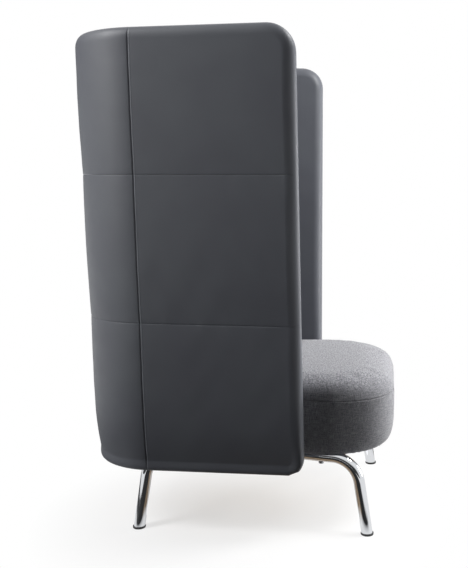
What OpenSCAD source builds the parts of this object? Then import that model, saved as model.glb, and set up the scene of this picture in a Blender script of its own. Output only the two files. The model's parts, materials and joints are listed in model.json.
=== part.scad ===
// Acoustic high back lounge chair: a tall padded shell on three sides of a padded
// seat, carried by two bent chromed tubes. Front faces -Y, +Z is up, and the origin
// is on the floor under the middle of the chair.

/* [Shell] */
// Height of the shell's top edge above the floor
shell_top = 1375; // [1200:5:1500]
// Height of the shell's lower edge above the floor
shell_bottom = 173; // [160:1:185]
// Padded thickness of the shell wall
wall_t = 62; // [58:1:70]
// Outer half width at the front edge, at the bottom
front_half_low = 336; // [320:1:360]
// Outer half width at the front edge, at the top
front_half_top = 482; // [440:1:500]
// Outer half width at the upright seam, at the bottom
seam_half_low = 321; // [310:1:335]
// Outer half width at the upright seam, at the top
seam_half_top = 434; // [400:1:450]
// Depth position of the front edge at the bottom, in front of the origin
front_edge_low = 202; // [170:1:230]
// Depth position of the front edge at the top, in front of the origin
front_edge_top = 194; // [160:1:220]
// Depth position of the outer back face at the bottom, behind the origin
back_low = 423; // [405:1:440]
// Depth position of the outer back face at the top, behind the origin
back_top = 450; // [430:1:465]
// Depth of the rounded rear corner, from the upright seam to the back, at the bottom
corner_depth_low = 190; // [165:1:205]
// Depth of the rounded rear corner, from the upright seam to the back, at the top
corner_depth_top = 209; // [185:1:225]
// Radius of each side's upper front corner, seen from the side
top_corner_r = 75; // [60:1:100]
// Radius of each side's lower front corner, seen from the side
low_corner_r = 42; // [38:1:60]
// Height of the lower level seam
seam_low_z = 592; // [560:2:630]
// Height of the upper level seam
seam_high_z = 992; // [960:2:1030]
// How far the free edges are rounded in from the rim
nose_len = 32; // [26:1:36]
// Depth of the sewn grooves
groove_d = 5; // [2:0.5:8]
// Width of a sewn groove on each side of its seam
groove_w = 14; // [8:1:20]
// How far each sewn field swells
field_swell = 3; // [0:0.5:6]
// How far the lower rim is drawn in
tuck_in = 12; // [0:1:16]
// Height over which the lower rim is drawn in
tuck_h = 150; // [100:5:200]

/* [Shell layers] */
// Thickness of the outer padding
cover_t = 24; // [22:0.5:26]
// Thickness of the moulded plywood core
core_t = 12; // [9:0.5:14]
// Thickness of the padding's edge where outer and inner covers meet
lip_t = 1.5; // [1:0.1:2.5]
// Thickness of the steel strips that join side and back cores
strip_t = 3; // [2:0.5:4]
// Half width of a joining strip
strip_half = 30; // [24:1:36]
// Diameter of the strip screws' heads
strip_head_d = 9; // [8:0.5:10]
// Diameter of the strip screws' shanks
strip_shank_d = 4.5; // [4:0.1:5]
// Length of the strip screws' shanks
strip_shank_len = 10; // [6:0.5:11]
// Height of the strip screws' heads
strip_head_h = 1.8; // [1.5:0.1:2]

/* [Seat] */
// Depth position of the seat's front, in front of the origin
seat_front = 450; // [425:1:470]
// Height of the seat's crown
seat_top = 433; // [425:1:460]
// Height of the seam around the seat's side
seat_seam_z = 370; // [362:1:377]
// Height of the plywood base's underside
seat_under = 224; // [222:1:228]
// How far the side band reaches below the plywood base
hem_drop = 5; // [4:0.5:7]
// Radius of the seat's front corners in plan
seat_corner_r = 165; // [140:5:190]
// Thickness of the seat's plywood base
base_t = 18; // [15:1:20]
// Height of the plywood box frame on the base
box_h = 76; // [60:1:84]
// Thickness of the box frame's rails
rail_t = 18; // [15:1:22]
// Padding beside the box frame
side_pad_t = 34; // [30:1:38]
// Width of one web strap
strap_w = 50; // [40:5:60]
// Thickness of one web strap
strap_t = 2; // [1.5:0.1:2.5]
// Number of straps in each direction
strap_count = 5; // [3:1:6]

/* [Backrest] */
// Height of the backrest cushion's top
rest_top = 940; // [880:5:980]
// Depth position of its front face at the seat, behind the origin
rest_front_low = 112; // [100:1:140]
// Depth position of its front face at the top, behind the origin
rest_front_top = 202; // [180:1:240]
// How far its front face swells
rest_swell = 20; // [10:1:30]
// Thickness of the plywood board behind it
rest_board_t = 12; // [9:0.5:15]
// Width of that board
rest_board_w = 240; // [200:5:260]
// Height of that board
rest_board_h = 400; // [350:5:420]

/* [Legs] */
// Outer diameter of the leg tubes
tube_d = 32; // [28:1:34]
// Wall of the leg tubes
tube_wall = 2; // [1.5:0.1:3]
// Distance of each foot from the middle plane
foot_half = 279; // [270:1:285]
// Distance of the front feet behind the seat's front
front_foot_in = 75.5; // [68:0.5:82]
// Distance of the rear feet in front of the shell's back at the bottom
rear_foot_in = 156.5; // [149:0.5:164]
// Height of the run's centre line
run_z = 205; // [203:0.5:206]
// Lean of the legs from the vertical, in degrees
leg_lean = 9; // [6:0.5:12]
// Outward turn of the run's ends in plan, in degrees
run_turn = 14; // [10:0.5:16]
// Distance of the feet from the plan bends, along the chair
bend_from_foot = 195.5; // [185:0.5:205]
// Centre line radius of the bends into the legs
leg_bend_r = 75; // [65:1:85]
// Centre line radius of the plan bends
plan_bend_r = 160; // [120:5:180]
// Distance of the leg bolts from the plan bends
bolt_from_bend = 68; // [60:1:76]
// Diameter of the glides
glide_d = 36; // [34:0.5:38]
// Visible height of the glides
glide_h = 6; // [4:0.5:8]
// Length of the glide's plug inside the tube
plug_len = 24; // [15:1:30]

/* [Fasteners] */
// Diameter of the machine bolts
bolt_d = 8; // [6:1:8]
// Diameter of the bolt heads
bolt_head_d = 15; // [13:0.5:16]
// Height of the bolt heads
bolt_head_h = 4.5; // [4:0.5:6]
// Diameter of the threaded inserts' barrels
insert_d = 11; // [10:0.5:12]
// Diameter of the threaded inserts' flanges
insert_flange_d = 21; // [18:0.5:22]
// Thickness of the threaded inserts' flanges
insert_flange_t = 1.6; // [1.2:0.1:2]
// Outer diameter of the distance sleeves between seat and shell
sleeve_d = 20; // [18:0.5:22]
// Height of the bolts between seat and shell
shell_bolt_z = 285; // [281:1:291]
// Distance of the front pair of those bolts in front of the origin
shell_bolt_front = 110; // [90:1:130]
// Distance of the rear side pair of those bolts behind the origin
shell_bolt_rear = 110; // [90:1:130]
// Distance of the back pair of those bolts from the middle plane
shell_bolt_half = 60; // [50:1:66]
// Diameter of the backrest screws
rest_screw_d = 6; // [5:0.5:7]

/* [Hidden] */

// Clearance between padding and its neighbours
pad_gap = 0.3;
// Clearance between seat and shell
seat_gap = 1.4;
// Radial clearance of bolts and screws in their holes
hole_gap = 0.3;
// Radial clearance of a glide's plug in its tube
plug_gap = 0.1;
// Overrun of cutting bodies
over = 1;
// Where the grid rows and columns lie near a rim, as shares of nose_len
edge_shares = [0, 0.08, 0.3, 1];
// Further rows along the rounded upper and lower front corners, as shares of the
// height from nose_len to the corner's radius
top_bend_shares = [0.4, 1];
low_bend_shares = [1];
// Where they lie near a seam, as shares of groove_w
seam_shares = [0, 0.3, 1];
// Where they lie between, as shares of the open field
field_shares = [1/3, 2/3];
// Facets of one rear corner, after the seam's own columns
corner_shares = [for (i = [1:6]) i/6];
// Columns across the flat of the back, up to the middle
flat_shares = [1/2, 1];
// Room beside the seam for the joining strip
strip_room = strip_half + groove_w;
// Distance of the core from the rim
core_inset = nose_len + pad_gap;
// Distance of the strip's ends from the rim
strip_inset = 2*nose_len;
// Heights of the strip screws, as shares of the shell's height
strip_screw_shares = [0.1, 0.35, 0.65, 0.9];

shell_colour = [0.27, 0.28, 0.30];
seat_colour = [0.60, 0.60, 0.62];
ply_colour = [0.76, 0.62, 0.44];
chrome_colour = [0.82, 0.83, 0.85];
zinc_colour = [0.66, 0.67, 0.69];
black_colour = [0.06, 0.06, 0.06];
foam_colour = [0.90, 0.87, 0.74];
web_colour = [0.14, 0.14, 0.15];

function mix(a, b, t) = a + (b - a)*t;
function flat_list(l) = [for (a = l) each a];
function unit(v) = v/norm(v);
function spin(v, a) = [v.x*cos(a) - v.y*sin(a), v.x*sin(a) + v.y*cos(a)];
function rise(z) = (z - shell_bottom)/(shell_top - shell_bottom);

// Plan of the shell's outer face at height z, right half at negative x
function half_front(z) = mix(front_half_low, front_half_top, rise(z));
function half_seam(z) = mix(seam_half_low, seam_half_top, rise(z));
function front_y(z) = -mix(front_edge_low, front_edge_top, rise(z));
function back_y(z) = mix(back_low, back_top, rise(z));
function corner_depth(z) = mix(corner_depth_low, corner_depth_top, rise(z));
function seam_y(z) = back_y(z) - corner_depth(z);
function side_len(z) = norm([half_front(z) - half_seam(z), seam_y(z) - front_y(z)]);
function side_turn(z) = atan2(half_front(z) - half_seam(z), seam_y(z) - front_y(z));
function corner_r(z) = corner_depth(z)/(cos(side_turn(z))*tan((90 - side_turn(z))/2));
function corner_len(z) = corner_r(z)*(90 - side_turn(z))*PI/180;
function seam_point(z) = [-half_seam(z), seam_y(z)];
function side_normal(z) = [cos(side_turn(z)), -sin(side_turn(z))];
function corner_centre(z) = seam_point(z) + corner_r(z)*side_normal(z);

// Point at run s along the plan, negative on the side and positive round the back,
// at height z and at a depth inside the outer face
function shell_point(s, z, d) = s <= 0
    ? let (p = seam_point(z) - s*spin([0, -1], -side_turn(z)) + d*side_normal(z)) [p.x, p.y, z]
    : s < corner_len(z)
    ? let (a = 180 - side_turn(z) - s/corner_r(z)*180/PI, c = corner_centre(z))
        [c.x + (corner_r(z) - d)*cos(a), c.y + (corner_r(z) - d)*sin(a), z]
    : [corner_centre(z).x + s - corner_len(z), back_y(z) - d, z];
function shell_heading(s, z) = side_turn(z) + max(0, s)/corner_r(z)*180/PI;

// Inner face of the shell's side at depth position y, as a half width
function room_half(y, z) = mix(half_front(z), half_seam(z), (y - front_y(z))/(seam_y(z) - front_y(z)))
    - wall_t/cos(side_turn(z));

// Setback of a rounded corner's arc at distance v from the rim
function arc_cut(v, r) = v < r ? r - sqrt(r*r - pow(r - max(0, v), 2)) : 0;
function corner_cut(z, inset) = arc_cut(shell_top - inset - z, top_corner_r - inset)
    + arc_cut(z - shell_bottom - inset, low_corner_r - inset);
// Columns beside a level rim keep apart by this share of their distance
rim_spread = 0.25;
function rim_column(z, t) = t + corner_cut(z, t) + (back_rim(z) < t + pad_gap ? rim_spread*t : 0)
    - side_len(z);
function corner_dist(u, v, r) = u < r && v < r ? r - norm([r - u, r - v]) : min(u, v);
function side_rim(u, z) = min(corner_dist(u, shell_top - z, top_corner_r),
    corner_dist(u, z - shell_bottom, low_corner_r));
function back_rim(z) = min(shell_top - z, z - shell_bottom);

// Profile of a rounded rim: an ellipse quarter of depth d
function nose(e, d) = e >= nose_len ? 0 : d*(1 - sqrt(1 - pow(1 - max(0, e)/nose_len, 2)));
function groove(t) = groove_d*pow(max(0, 1 - t/groove_w), 2);
function tuck(z) = tuck_in*pow(max(0, 1 - (z - shell_bottom)/tuck_h), 2);

tier_z = [shell_bottom, seam_low_z, seam_high_z, shell_top];
function tier_share(k, z) = (z - tier_z[k])/(tier_z[k + 1] - tier_z[k]);
function swell(k, z) = field_swell*4*tier_share(k, z)*(1 - tier_share(k, z));
function level_seam(k, z) = min(k == 0 ? shell_top : z - tier_z[k],
    k == 2 ? shell_top : tier_z[k + 1] - z);

function cover_face(k, e, v, z) = nose(e, cover_t - lip_t)
    + min(1, e/nose_len)*(groove(v) + groove(level_seam(k, z)) + tuck(z) - swell(k, z));
function cover_back(e, v) = e > nose_len - pad_gap && v < strip_room + pad_gap
    ? cover_t - strip_t - pad_gap : cover_t;
function lining_face(e) = wall_t - nose(e, wall_t - cover_t - pad_gap - lip_t);
function lining_back(e) = e < nose_len - pad_gap ? cover_t + pad_gap : cover_t + core_t + 2*pad_gap;

// Rows of one tier, from its lower end to its upper end
function rim_steps() = [for (t = edge_shares) t*nose_len];
function seam_steps() = [for (t = seam_shares) max(pad_gap/2, t*groove_w)];
function turned(l) = [for (i = [len(l) - 1:-1:0]) l[i]];
function low_steps() = concat(rim_steps(), [for (t = low_bend_shares) mix(nose_len, low_corner_r, t)]);
function top_steps() = concat(rim_steps(), [for (t = top_bend_shares) mix(nose_len, top_corner_r, t)]);
function tier_low(k) = [for (t = k == 0 ? low_steps() : seam_steps()) tier_z[k] + t];
function tier_high(k) = [for (t = turned(k == 2 ? top_steps() : seam_steps())) tier_z[k + 1] - t];
function field_rows(k) = let (low = tier_low(k), high = tier_high(k))
    [for (t = field_shares) mix(low[len(low) - 1], high[0], t)];
function tier_rows(k) = concat(tier_low(k), field_rows(k), tier_high(k));
inner_rows = concat(field_rows(0), [seam_low_z], field_rows(1), [seam_high_z], field_rows(2));
lining_rows = concat(tier_low(0), inner_rows, tier_high(2));
function core_rows(inset) = concat([shell_bottom + inset], [for (z = lining_rows)
    if (back_rim(z) > inset + over) z], [shell_top - inset]);

// Columns of a side and of the back's right half, as runs along the plan
function side_fields(z, front) = concat([for (t = field_shares) mix(front, -strip_room, t)], [-strip_room]);
function side_columns(z) = concat([for (t = rim_steps()) rim_column(z, t)],
    side_fields(z, rim_column(z, nose_len)), [for (t = turned(seam_steps())) -t]);
function back_columns(z) = concat(seam_steps(), [strip_half, strip_room],
    [for (t = corner_shares) mix(strip_room, corner_len(z), t)],
    [for (t = flat_shares) corner_len(z) - t*corner_centre(z).x]);
function both_halves(row) = concat(row, [for (i = [len(row) - 2:-1:0]) [-row[i].x, row[i].y, row[i].z]]);

// Closed solid between two grids of points with the same rows and columns
module grid_solid(face, back) {
    rows = len(face);
    cols = len(face[0]);
    n = rows*cols;
    cells = [for (i = [0:rows - 2], j = [0:cols - 2]) i*cols + j];
    polyhedron(concat(flat_list(face), flat_list(back)), concat(
        [for (a = cells) each [[a, a + 1, a + cols + 1], [a, a + cols + 1, a + cols]]],
        [for (a = cells) let (b = a + n)
            each [[b, b + cols + 1, b + 1], [b, b + cols, b + cols + 1]]],
        [for (j = [0:cols - 2]) let (a = j) each [[a + 1, a, a + n], [a + 1, a + n, a + n + 1]]],
        [for (j = [0:cols - 2]) let (a = (rows - 1)*cols + j)
            each [[a, a + 1, a + n + 1], [a, a + n + 1, a + n]]],
        [for (i = [0:rows - 2]) let (a = i*cols)
            each [[a, a + cols, a + cols + n], [a, a + cols + n, a + n]]],
        [for (i = [0:rows - 2]) let (a = i*cols + cols - 1)
            each [[a + cols, a, a + n], [a + cols, a + n, a + cols + n]]]));
}

// Solid skinned over rings of points, bottom to top, closed by two centre points
module ring_solid(rings, low, high) {
    m = len(rings);
    n = len(rings[0]);
    polyhedron(concat(flat_list(rings), [low, high]), concat(
        [for (i = [0:m - 2], j = [0:n - 1]) let (a = i*n + j, b = i*n + (j + 1)%n)
            each [[a, a + n, b + n], [a, b + n, b]]],
        [for (j = [0:n - 1]) [j, (j + 1)%n, m*n]],
        [for (j = [0:n - 1]) let (a = (m - 1)*n) [a + (j + 1)%n, a + j, m*n + 1]]));
}

// Ring shaped solid: rings up the outside, then down the inside
module hollow_solid(rings) {
    m = len(rings);
    n = len(rings[0]);
    polyhedron(flat_list(rings), [for (i = [0:m - 1], j = [0:n - 1])
        let (a = i*n + j, b = i*n + (j + 1)%n, c = ((i + 1)%m)*n + j, d = ((i + 1)%m)*n + (j + 1)%n)
            each [[a, c, d], [a, d, b]]]);
}

// Outline with rounded corners; each corner is [x, y, radius], counterclockwise
corner_steps = 8;
function fillet(a, p, b, r) = let (
        u = unit(a - p), w = unit(b - p), phi = acos(u*w),
        c = p + unit(u + w)*r/sin(phi/2), s = p + u*r/tan(phi/2) - c
    ) [for (k = [0:corner_steps]) c + spin(s, (180 - phi)*k/corner_steps)];
function outline(corners) = [for (i = [0:len(corners) - 1])
    let (p = corners[i], a = corners[(i + len(corners) - 1)%len(corners)], b = corners[(i + 1)%len(corners)])
        each fillet([a.x, a.y], [p.x, p.y], [b.x, b.y], p.z)];
function lift(pts, z) = [for (p = pts) [p.x, p.y, z]];

module side_cover(k) {
    zs = tier_rows(k);
    grid_solid(
        [for (z = zs) [for (s = side_columns(z)) let (e = side_rim(s + side_len(z), z))
            shell_point(s, z, cover_face(k, e, -s, z))]],
        [for (z = zs) [for (s = side_columns(z)) let (e = side_rim(s + side_len(z), z))
            shell_point(s, z, cover_back(e, -s))]]);
}

module back_cover(k) {
    zs = tier_rows(k);
    grid_solid(
        [for (z = zs) both_halves([for (s = back_columns(z))
            shell_point(s, z, cover_face(k, back_rim(z), s, z))])],
        [for (z = zs) both_halves([for (s = back_columns(z))
            shell_point(s, z, cover_back(back_rim(z), s))])]);
}

module side_lining() {
    grid_solid(
        [for (z = lining_rows) [for (s = side_columns(z))
            shell_point(s, z, lining_back(side_rim(s + side_len(z), z)))]],
        [for (z = lining_rows) [for (s = side_columns(z))
            shell_point(s, z, lining_face(side_rim(s + side_len(z), z)))]]);
}

module back_lining_solid() {
    grid_solid(
        [for (z = lining_rows) both_halves([for (s = back_columns(z))
            shell_point(s, z, lining_back(back_rim(z)))])],
        [for (z = lining_rows) both_halves([for (s = back_columns(z))
            shell_point(s, z, lining_face(back_rim(z)))])]);
}

core_depths = [cover_t + pad_gap, cover_t + pad_gap + core_t];
function side_core_columns(z) = let (front = core_inset + corner_cut(z, core_inset) - side_len(z))
    concat([front], side_fields(z, max(front, rim_column(z, nose_len))), [-pad_gap/2]);
module side_core_solid() {
    zs = core_rows(core_inset);
    grid_solid(
        [for (z = zs) [for (s = side_core_columns(z)) shell_point(s, z, core_depths[0])]],
        [for (z = zs) [for (s = side_core_columns(z)) shell_point(s, z, core_depths[1])]]);
}
module back_core_solid() {
    zs = core_rows(core_inset);
    grid_solid(
        [for (z = zs) both_halves([for (s = back_columns(z)) shell_point(s, z, core_depths[0])])],
        [for (z = zs) both_halves([for (s = back_columns(z)) shell_point(s, z, core_depths[1])])]);
}
module seam_strip_solid() {
    zs = core_rows(strip_inset);
    columns = [-strip_half, 0, groove_w, strip_half];
    grid_solid(
        [for (z = zs) [for (s = columns) shell_point(s, z, cover_t - strip_t)]],
        [for (z = zs) [for (s = columns) shell_point(s, z, cover_t)]]);
}

// Places children at run s and height z of the right side, +Z pointing into the
// shell from depth d
module on_shell(s, z, d) {
    translate(shell_point(s, z, d)) rotate([0, 90, -shell_heading(s, z)]) children();
}

module at_strip_screws() {
    for (t = strip_screw_shares, side = [-1, 1])
        on_shell(side*strip_half/2, mix(shell_bottom, shell_top, t), cover_t - strip_t) children();
}

// How deep the heads are sunk below the strip's outer face
strip_sink_share = 1/5;
strip_sink = strip_t*strip_sink_share;
module strip_screw_cut() {
    at_strip_screws() {
        drill(strip_head_d + 2*hole_gap, -strip_t, strip_sink + strip_head_h);
        drill(strip_shank_d + 2*hole_gap, 0, strip_sink + strip_head_h + strip_shank_len + over);
    }
}

module strip_screw() {
    drill(strip_head_d, strip_sink, strip_sink + strip_head_h);
    drill(strip_shank_d, strip_sink + strip_head_h, strip_sink + strip_head_h + strip_shank_len);
}

// Seat outline at height z; insets are [front, side, rear]
function seat_rear(z) = back_y(z) - wall_t - seat_gap;
function seat_outline(z, i) = let (
        f = -seat_front + i[0], b = seat_rear(z) - i[2],
        rf = seat_corner_r - seat_round_share*i[0], rb = corner_r(z) - wall_t - seat_gap
    ) outline([[seat_half(f, z) - i[1], f, rf], [seat_half(b, z) - i[1], b, rb],
        [i[1] - seat_half(b, z), b, rb], [i[1] - seat_half(f, z), f, rf]]);
function seat_half(y, z) = room_half(y, z) - seat_gap;
seat_round_share = 0.35;

// Draw-in of the seat's side from its underside to its seam, as shares of low_draw
low_draw = [24, 6, 6];
low_shares = [[0, 1], [0.06, 0.6], [0.18, 0.28], [0.36, 0.08], [0.62, 0], [0.86, 0.03],
    [0.97, 0.07], [1, 0.16]];
// Draw-in of the crown from the seam upwards, as shares of crown_draw
crown_draw = [150, 95, 40];
crown_shares = [[0, 0.04], [0.04, 0.016], [0.2, 0.02], [0.42, 0.07], [0.64, 0.16], [0.8, 0.29],
    [0.91, 0.48], [0.97, 0.72], [0.995, 1]];

base_top = seat_under + base_t;
hem_z = seat_under - hem_drop;
box_top = base_top + box_h;
straps_top = box_top + 2*(strap_t + pad_gap);
seam_low_face = seat_seam_z - pad_gap/2;
seam_high_face = seat_seam_z + pad_gap/2;
// Insets of the plywood base and of the box frame, from the seat's outline
board_inset = [48, 14, 9];
function inset_by(a, t) = [a[0] + t, a[1] + t, a[2] + t];
end_pad_share = 0.7;
box_inset = board_inset + side_pad_t*[end_pad_share, 1, end_pad_share];
// Insets of the side band's inner faces
board_fit = inset_by(board_inset, -pad_gap);
box_fit = inset_by(box_inset, -pad_gap);
function box_half(y) = seat_half(y, base_top) - box_inset[1];

// The bent tube's line. Local +X runs along the run from its middle, -Y outwards.
front_foot = seat_front - front_foot_in;
rear_foot = back_low - rear_foot_in;
wheelbase = front_foot + rear_foot;
feet_mid = (front_foot - rear_foot)/2;
rear_shares = [0.42, 0.78];
rear_turn = run_turn*rear_shares[0];
rear_lean = leg_lean*rear_shares[1];
run_straight = wheelbase/2 - bend_from_foot;
run_half = foot_half - bend_from_foot*tan(run_turn);
function leg_roll(turn) = atan((foot_half - run_half - bend_from_foot*tan(turn))*cos(turn)/run_z);
function leg_pitch(lean, roll) = atan2(1, tan(lean)*cos(roll));
function bend_reach(turn, lean) = (bend_from_foot + run_z*tan(leg_roll(turn))*sin(turn))/cos(turn)
    - run_z*tan(lean);
leg_len = run_z + tube_d;
// How much the tube's radius shrinks in a bend, and how far a straight runs into it
bend_thin = 0.15;
bend_lap = 1;

module after_plan_bend(turn) {
    translate([run_straight + plan_bend_r*(sin(turn) - tan(turn/2)), -plan_bend_r*(1 - cos(turn)), 0])
        rotate([0, 0, -turn]) children();
}
module at_leg_bend(turn, lean) {
    after_plan_bend(turn)
        translate([bend_reach(turn, lean) - plan_ease(turn), 0, 0])
            rotate([-leg_roll(turn), 0, 0]) children();
}
module along_leg(turn, lean) {
    at_leg_bend(turn, lean) rotate([0, leg_pitch(lean, leg_roll(turn)), 0]) children();
}
module rod_x(r, from, to) {
    translate([from, 0, 0]) rotate([0, 90, 0]) cylinder(h = to - from, r = r, $fn = 32);
}
module arc_rod(bend, angle, r) {
    rotate_extrude(angle = angle, $fn = 72) translate([bend, 0]) circle(r = r, $fn = 32);
}
function plan_ease(turn) = plan_bend_r*tan(turn/2);
module half_run(turn, lean, r) {
    pitch = leg_pitch(lean, leg_roll(turn));
    ease = leg_bend_r*tan(pitch/2);
    bend_r = r - bend_thin;
    translate([run_straight - plan_ease(turn), -plan_bend_r, 0]) rotate([0, 0, 90 - turn])
        arc_rod(plan_bend_r, turn, bend_r);
    after_plan_bend(turn) rod_x(r, -bend_lap, bend_reach(turn, lean) - plan_ease(turn) - ease + bend_lap);
    at_leg_bend(turn, lean) translate([-ease, 0, -leg_bend_r]) rotate([90, 0, 0]) rotate([0, 0, 90 - pitch])
        arc_rod(leg_bend_r, pitch, bend_r);
    along_leg(turn, lean) rod_x(r, ease - bend_lap, leg_len);
}
module on_front_half() {
    translate([-run_half, -feet_mid, run_z]) rotate([0, 0, -90]) children();
}
module on_rear_half() {
    translate([-run_half, -feet_mid, run_z]) rotate([0, 0, -90]) mirror([1, 0, 0]) children();
}
module bent_tube(r) {
    on_front_half() rod_x(r, plan_ease(rear_turn) - run_straight - bend_lap,
        run_straight - plan_ease(run_turn) + bend_lap);
    on_front_half() half_run(run_turn, leg_lean, r);
    on_rear_half() half_run(rear_turn, rear_lean, r);
}
module at_leg_bolts() {
    reach = bolt_from_bend - plan_ease(run_turn);
    on_front_half() after_plan_bend(run_turn) translate([reach, 0, 0]) children();
    on_rear_half() after_plan_bend(rear_turn) translate([reach, 0, 0]) children();
}
module both_sides() {
    children();
    mirror([1, 0, 0]) children();
}
module drill(d, low, high) {
    translate([0, 0, low]) cylinder(h = high - low, d = d, $fn = 32);
}

leg_bolt_top = seat_under - run_z + base_t - insert_flange_t;
saddle_shares = [1.5, 0.84, 0.3];
saddle_len = tube_d*saddle_shares[0];
saddle_w = tube_d*saddle_shares[1];
saddle_low = tube_d*saddle_shares[2];

module leg_tube() {
    color(chrome_colour) difference() {
        bent_tube(tube_d/2);
        bent_tube(tube_d/2 - tube_wall);
        at_leg_bolts() drill(bolt_d + 2*hole_gap, -tube_d, tube_d);
        translate([-2*foot_half, -wheelbase, glide_h - wheelbase])
            cube([4*foot_half, 2*wheelbase, wheelbase]);
    }
}

module saddle() {
    difference() {
        translate([-saddle_len/2, -saddle_w/2, saddle_low])
            cube([saddle_len, saddle_w, seat_under - run_z - saddle_low]);
        rod_x(tube_d/2 + hole_gap, -saddle_len, saddle_len);
        drill(bolt_d + 2*hole_gap, -tube_d, tube_d);
    }
}

module machine_bolt(low, high) {
    translate([0, 0, low - bolt_head_h]) cylinder(h = bolt_head_h, d = bolt_head_d, $fn = 48);
    translate([0, 0, low]) cylinder(h = high - low, d = bolt_d, $fn = 32);
}

module insert(len) {
    difference() {
        union() {
            translate([0, 0, -len]) cylinder(h = len, d = insert_d, $fn = 32);
            cylinder(h = insert_flange_t, d = insert_flange_d, $fn = 48);
        }
        drill(bolt_d + 2*hole_gap, -len - over, insert_flange_t + over);
    }
}
// Barrel length of the leg bolts' inserts, as a share of the base's thickness
insert_share = 2/3;
module insert_cut(depth) {
    drill(insert_d + 2*hole_gap, -depth, over);
    drill(insert_flange_d + 2*hole_gap, 0, 4*insert_flange_t);
}

foot_y = wheelbase/2;
module glide(turn, lean) {
    foot = [foot_y, -foot_half + run_half];
    translate([foot.x, foot.y, -run_z]) cylinder(h = glide_h, d = glide_d, $fn = 64);
    intersection() {
        along_leg(turn, lean) rod_x(tube_d/2 - tube_wall - plug_gap, 0, leg_len);
        translate([foot.x - glide_d, foot.y - glide_d, -run_z])
            cube([2*glide_d, 2*glide_d, plug_len]);
    }
}

// Bolts between the seat's box frame and the shell's core. Local +Z points outwards.
shell_hole_r = insert_flange_d/2 + hole_gap;
function outer_half(y, z) = room_half(y, z) + wall_t/cos(side_turn(z));
side_floor = [for (y = [-shell_bolt_front, shell_bolt_rear])
    outer_half(y + shell_hole_r, shell_bolt_z - shell_hole_r) - cover_t - pad_gap - insert_flange_t];
back_floor = back_y(shell_bolt_z - shell_hole_r) - cover_t - pad_gap - insert_flange_t;
box_rear = seat_rear(base_top) - box_inset[2];
module at_side_bolts() {
    for (i = [0, 1]) let (y = [-shell_bolt_front, shell_bolt_rear][i])
        translate([-side_floor[i], y, shell_bolt_z]) rotate([0, -90, 0]) children();
}
module at_back_bolts() {
    for (m = [-1, 1])
        translate([m*shell_bolt_half, back_floor, shell_bolt_z]) rotate([-90, 0, 0]) children();
}
rail_face = [for (i = [0, 1]) side_floor[i] - box_half([-shell_bolt_front, shell_bolt_rear][i])];
back_rail_face = back_floor - box_rear;
core_face = core_t + pad_gap;
module shell_bolt_cuts(d, depth) {
    both_sides() at_side_bolts() drill(d, -depth, over);
    at_back_bolts() drill(d, -depth, over);
}

// Screws that hold the backrest board through the back core and lining
rest_base = seat_top + seat_gap;
rest_board_low = rest_base + rest_board_t;
rest_lean = atan2(back_top - back_low, shell_top - shell_bottom);
rest_screw_shares = [[-0.36, 0.12], [0.36, 0.12], [-0.36, 0.88], [0.36, 0.88]];
module at_rest_screws() {
    for (p = rest_screw_shares) let (z = rest_board_low + p.y*rest_board_h)
        translate([p.x*rest_board_w, back_y(z) - core_depths[0] - rest_screw_d/2, z])
            rotate([90, 0, 0]) children();
}
rest_screw_len = wall_t - cover_t + rest_board_t/2;
module rest_screw_cut() {
    at_rest_screws() {
        drill(rest_screw_d + 2*hole_gap, 0, rest_screw_len + over);
        drill(2*rest_screw_d + 2*hole_gap, -rest_screw_d, 0);
    }
}

// Backrest cushion: shares of its height with draw-ins as shares of rest_draw
rest_draw = [62, 30, 16];
rest_corner_r = 42;
rest_shares = [[0, 0.22], [0.015, 0.1], [0.06, 0.02], [0.2, 0], [0.35, 0], [0.5, 0], [0.65, 0],
    [0.78, 0.02], [0.87, 0.1], [0.93, 0.25], [0.965, 0.45], [0.99, 0.75], [1, 1]];
function rest_outline(z, t, k) = let (
        f = mix(rest_front_low, rest_front_top, t) - rest_swell*4*t*(1 - t) + k*rest_draw[0],
        b = back_y(z) - wall_t - rest_board_t - 2*pad_gap - k*rest_draw[2],
        room_r = corner_r(z) - wall_t,
        rf = rest_corner_r*(1 - k/2),
        rb = min(room_r, b - f - rf - over),
        g = k*rest_draw[1] + (sqrt(2) - 1)*(room_r - rb)
    ) outline([[seat_half(f, z) - g, f, rf], [seat_half(b, z) - g, b, rb],
        [g - seat_half(b, z), b, rb], [g - seat_half(f, z), f, rf]]);

module back_core() {
    color(ply_colour) difference() {
        back_core_solid();
        both_sides() strip_screw_cut();
        at_back_bolts() insert_cut(core_t + over);
        rest_screw_cut();
    }
}
module right_side_core() {
    color(ply_colour) difference() {
        side_core_solid();
        strip_screw_cut();
        at_side_bolts() insert_cut(core_t + 2*over);
    }
}
module left_side_core() {
    mirror([1, 0, 0]) right_side_core();
}

module back_cover_bottom() color(shell_colour) back_cover(0);
module back_cover_middle() color(shell_colour) back_cover(1);
module back_cover_top() color(shell_colour) back_cover(2);
module right_cover_bottom() color(shell_colour) side_cover(0);
module right_cover_middle() color(shell_colour) side_cover(1);
module right_cover_top() color(shell_colour) side_cover(2);
module left_cover_bottom() mirror([1, 0, 0]) right_cover_bottom();
module left_cover_middle() mirror([1, 0, 0]) right_cover_middle();
module left_cover_top() mirror([1, 0, 0]) right_cover_top();

module right_lining() {
    color(shell_colour) difference() {
        side_lining();
        at_side_bolts() drill(sleeve_d + 2*hole_gap, -wall_t, over);
    }
}
module left_lining() mirror([1, 0, 0]) right_lining();
module back_lining() {
    color(shell_colour) difference() {
        back_lining_solid();
        at_back_bolts() drill(sleeve_d + 2*hole_gap, -wall_t, over);
        rest_screw_cut();
    }
}

module right_seam_strip() {
    color(zinc_colour) difference() {
        seam_strip_solid();
        strip_screw_cut();
    }
}
module left_seam_strip() mirror([1, 0, 0]) right_seam_strip();
module seam_strip_screws() color(zinc_colour) both_sides() at_strip_screws() strip_screw();

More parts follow.
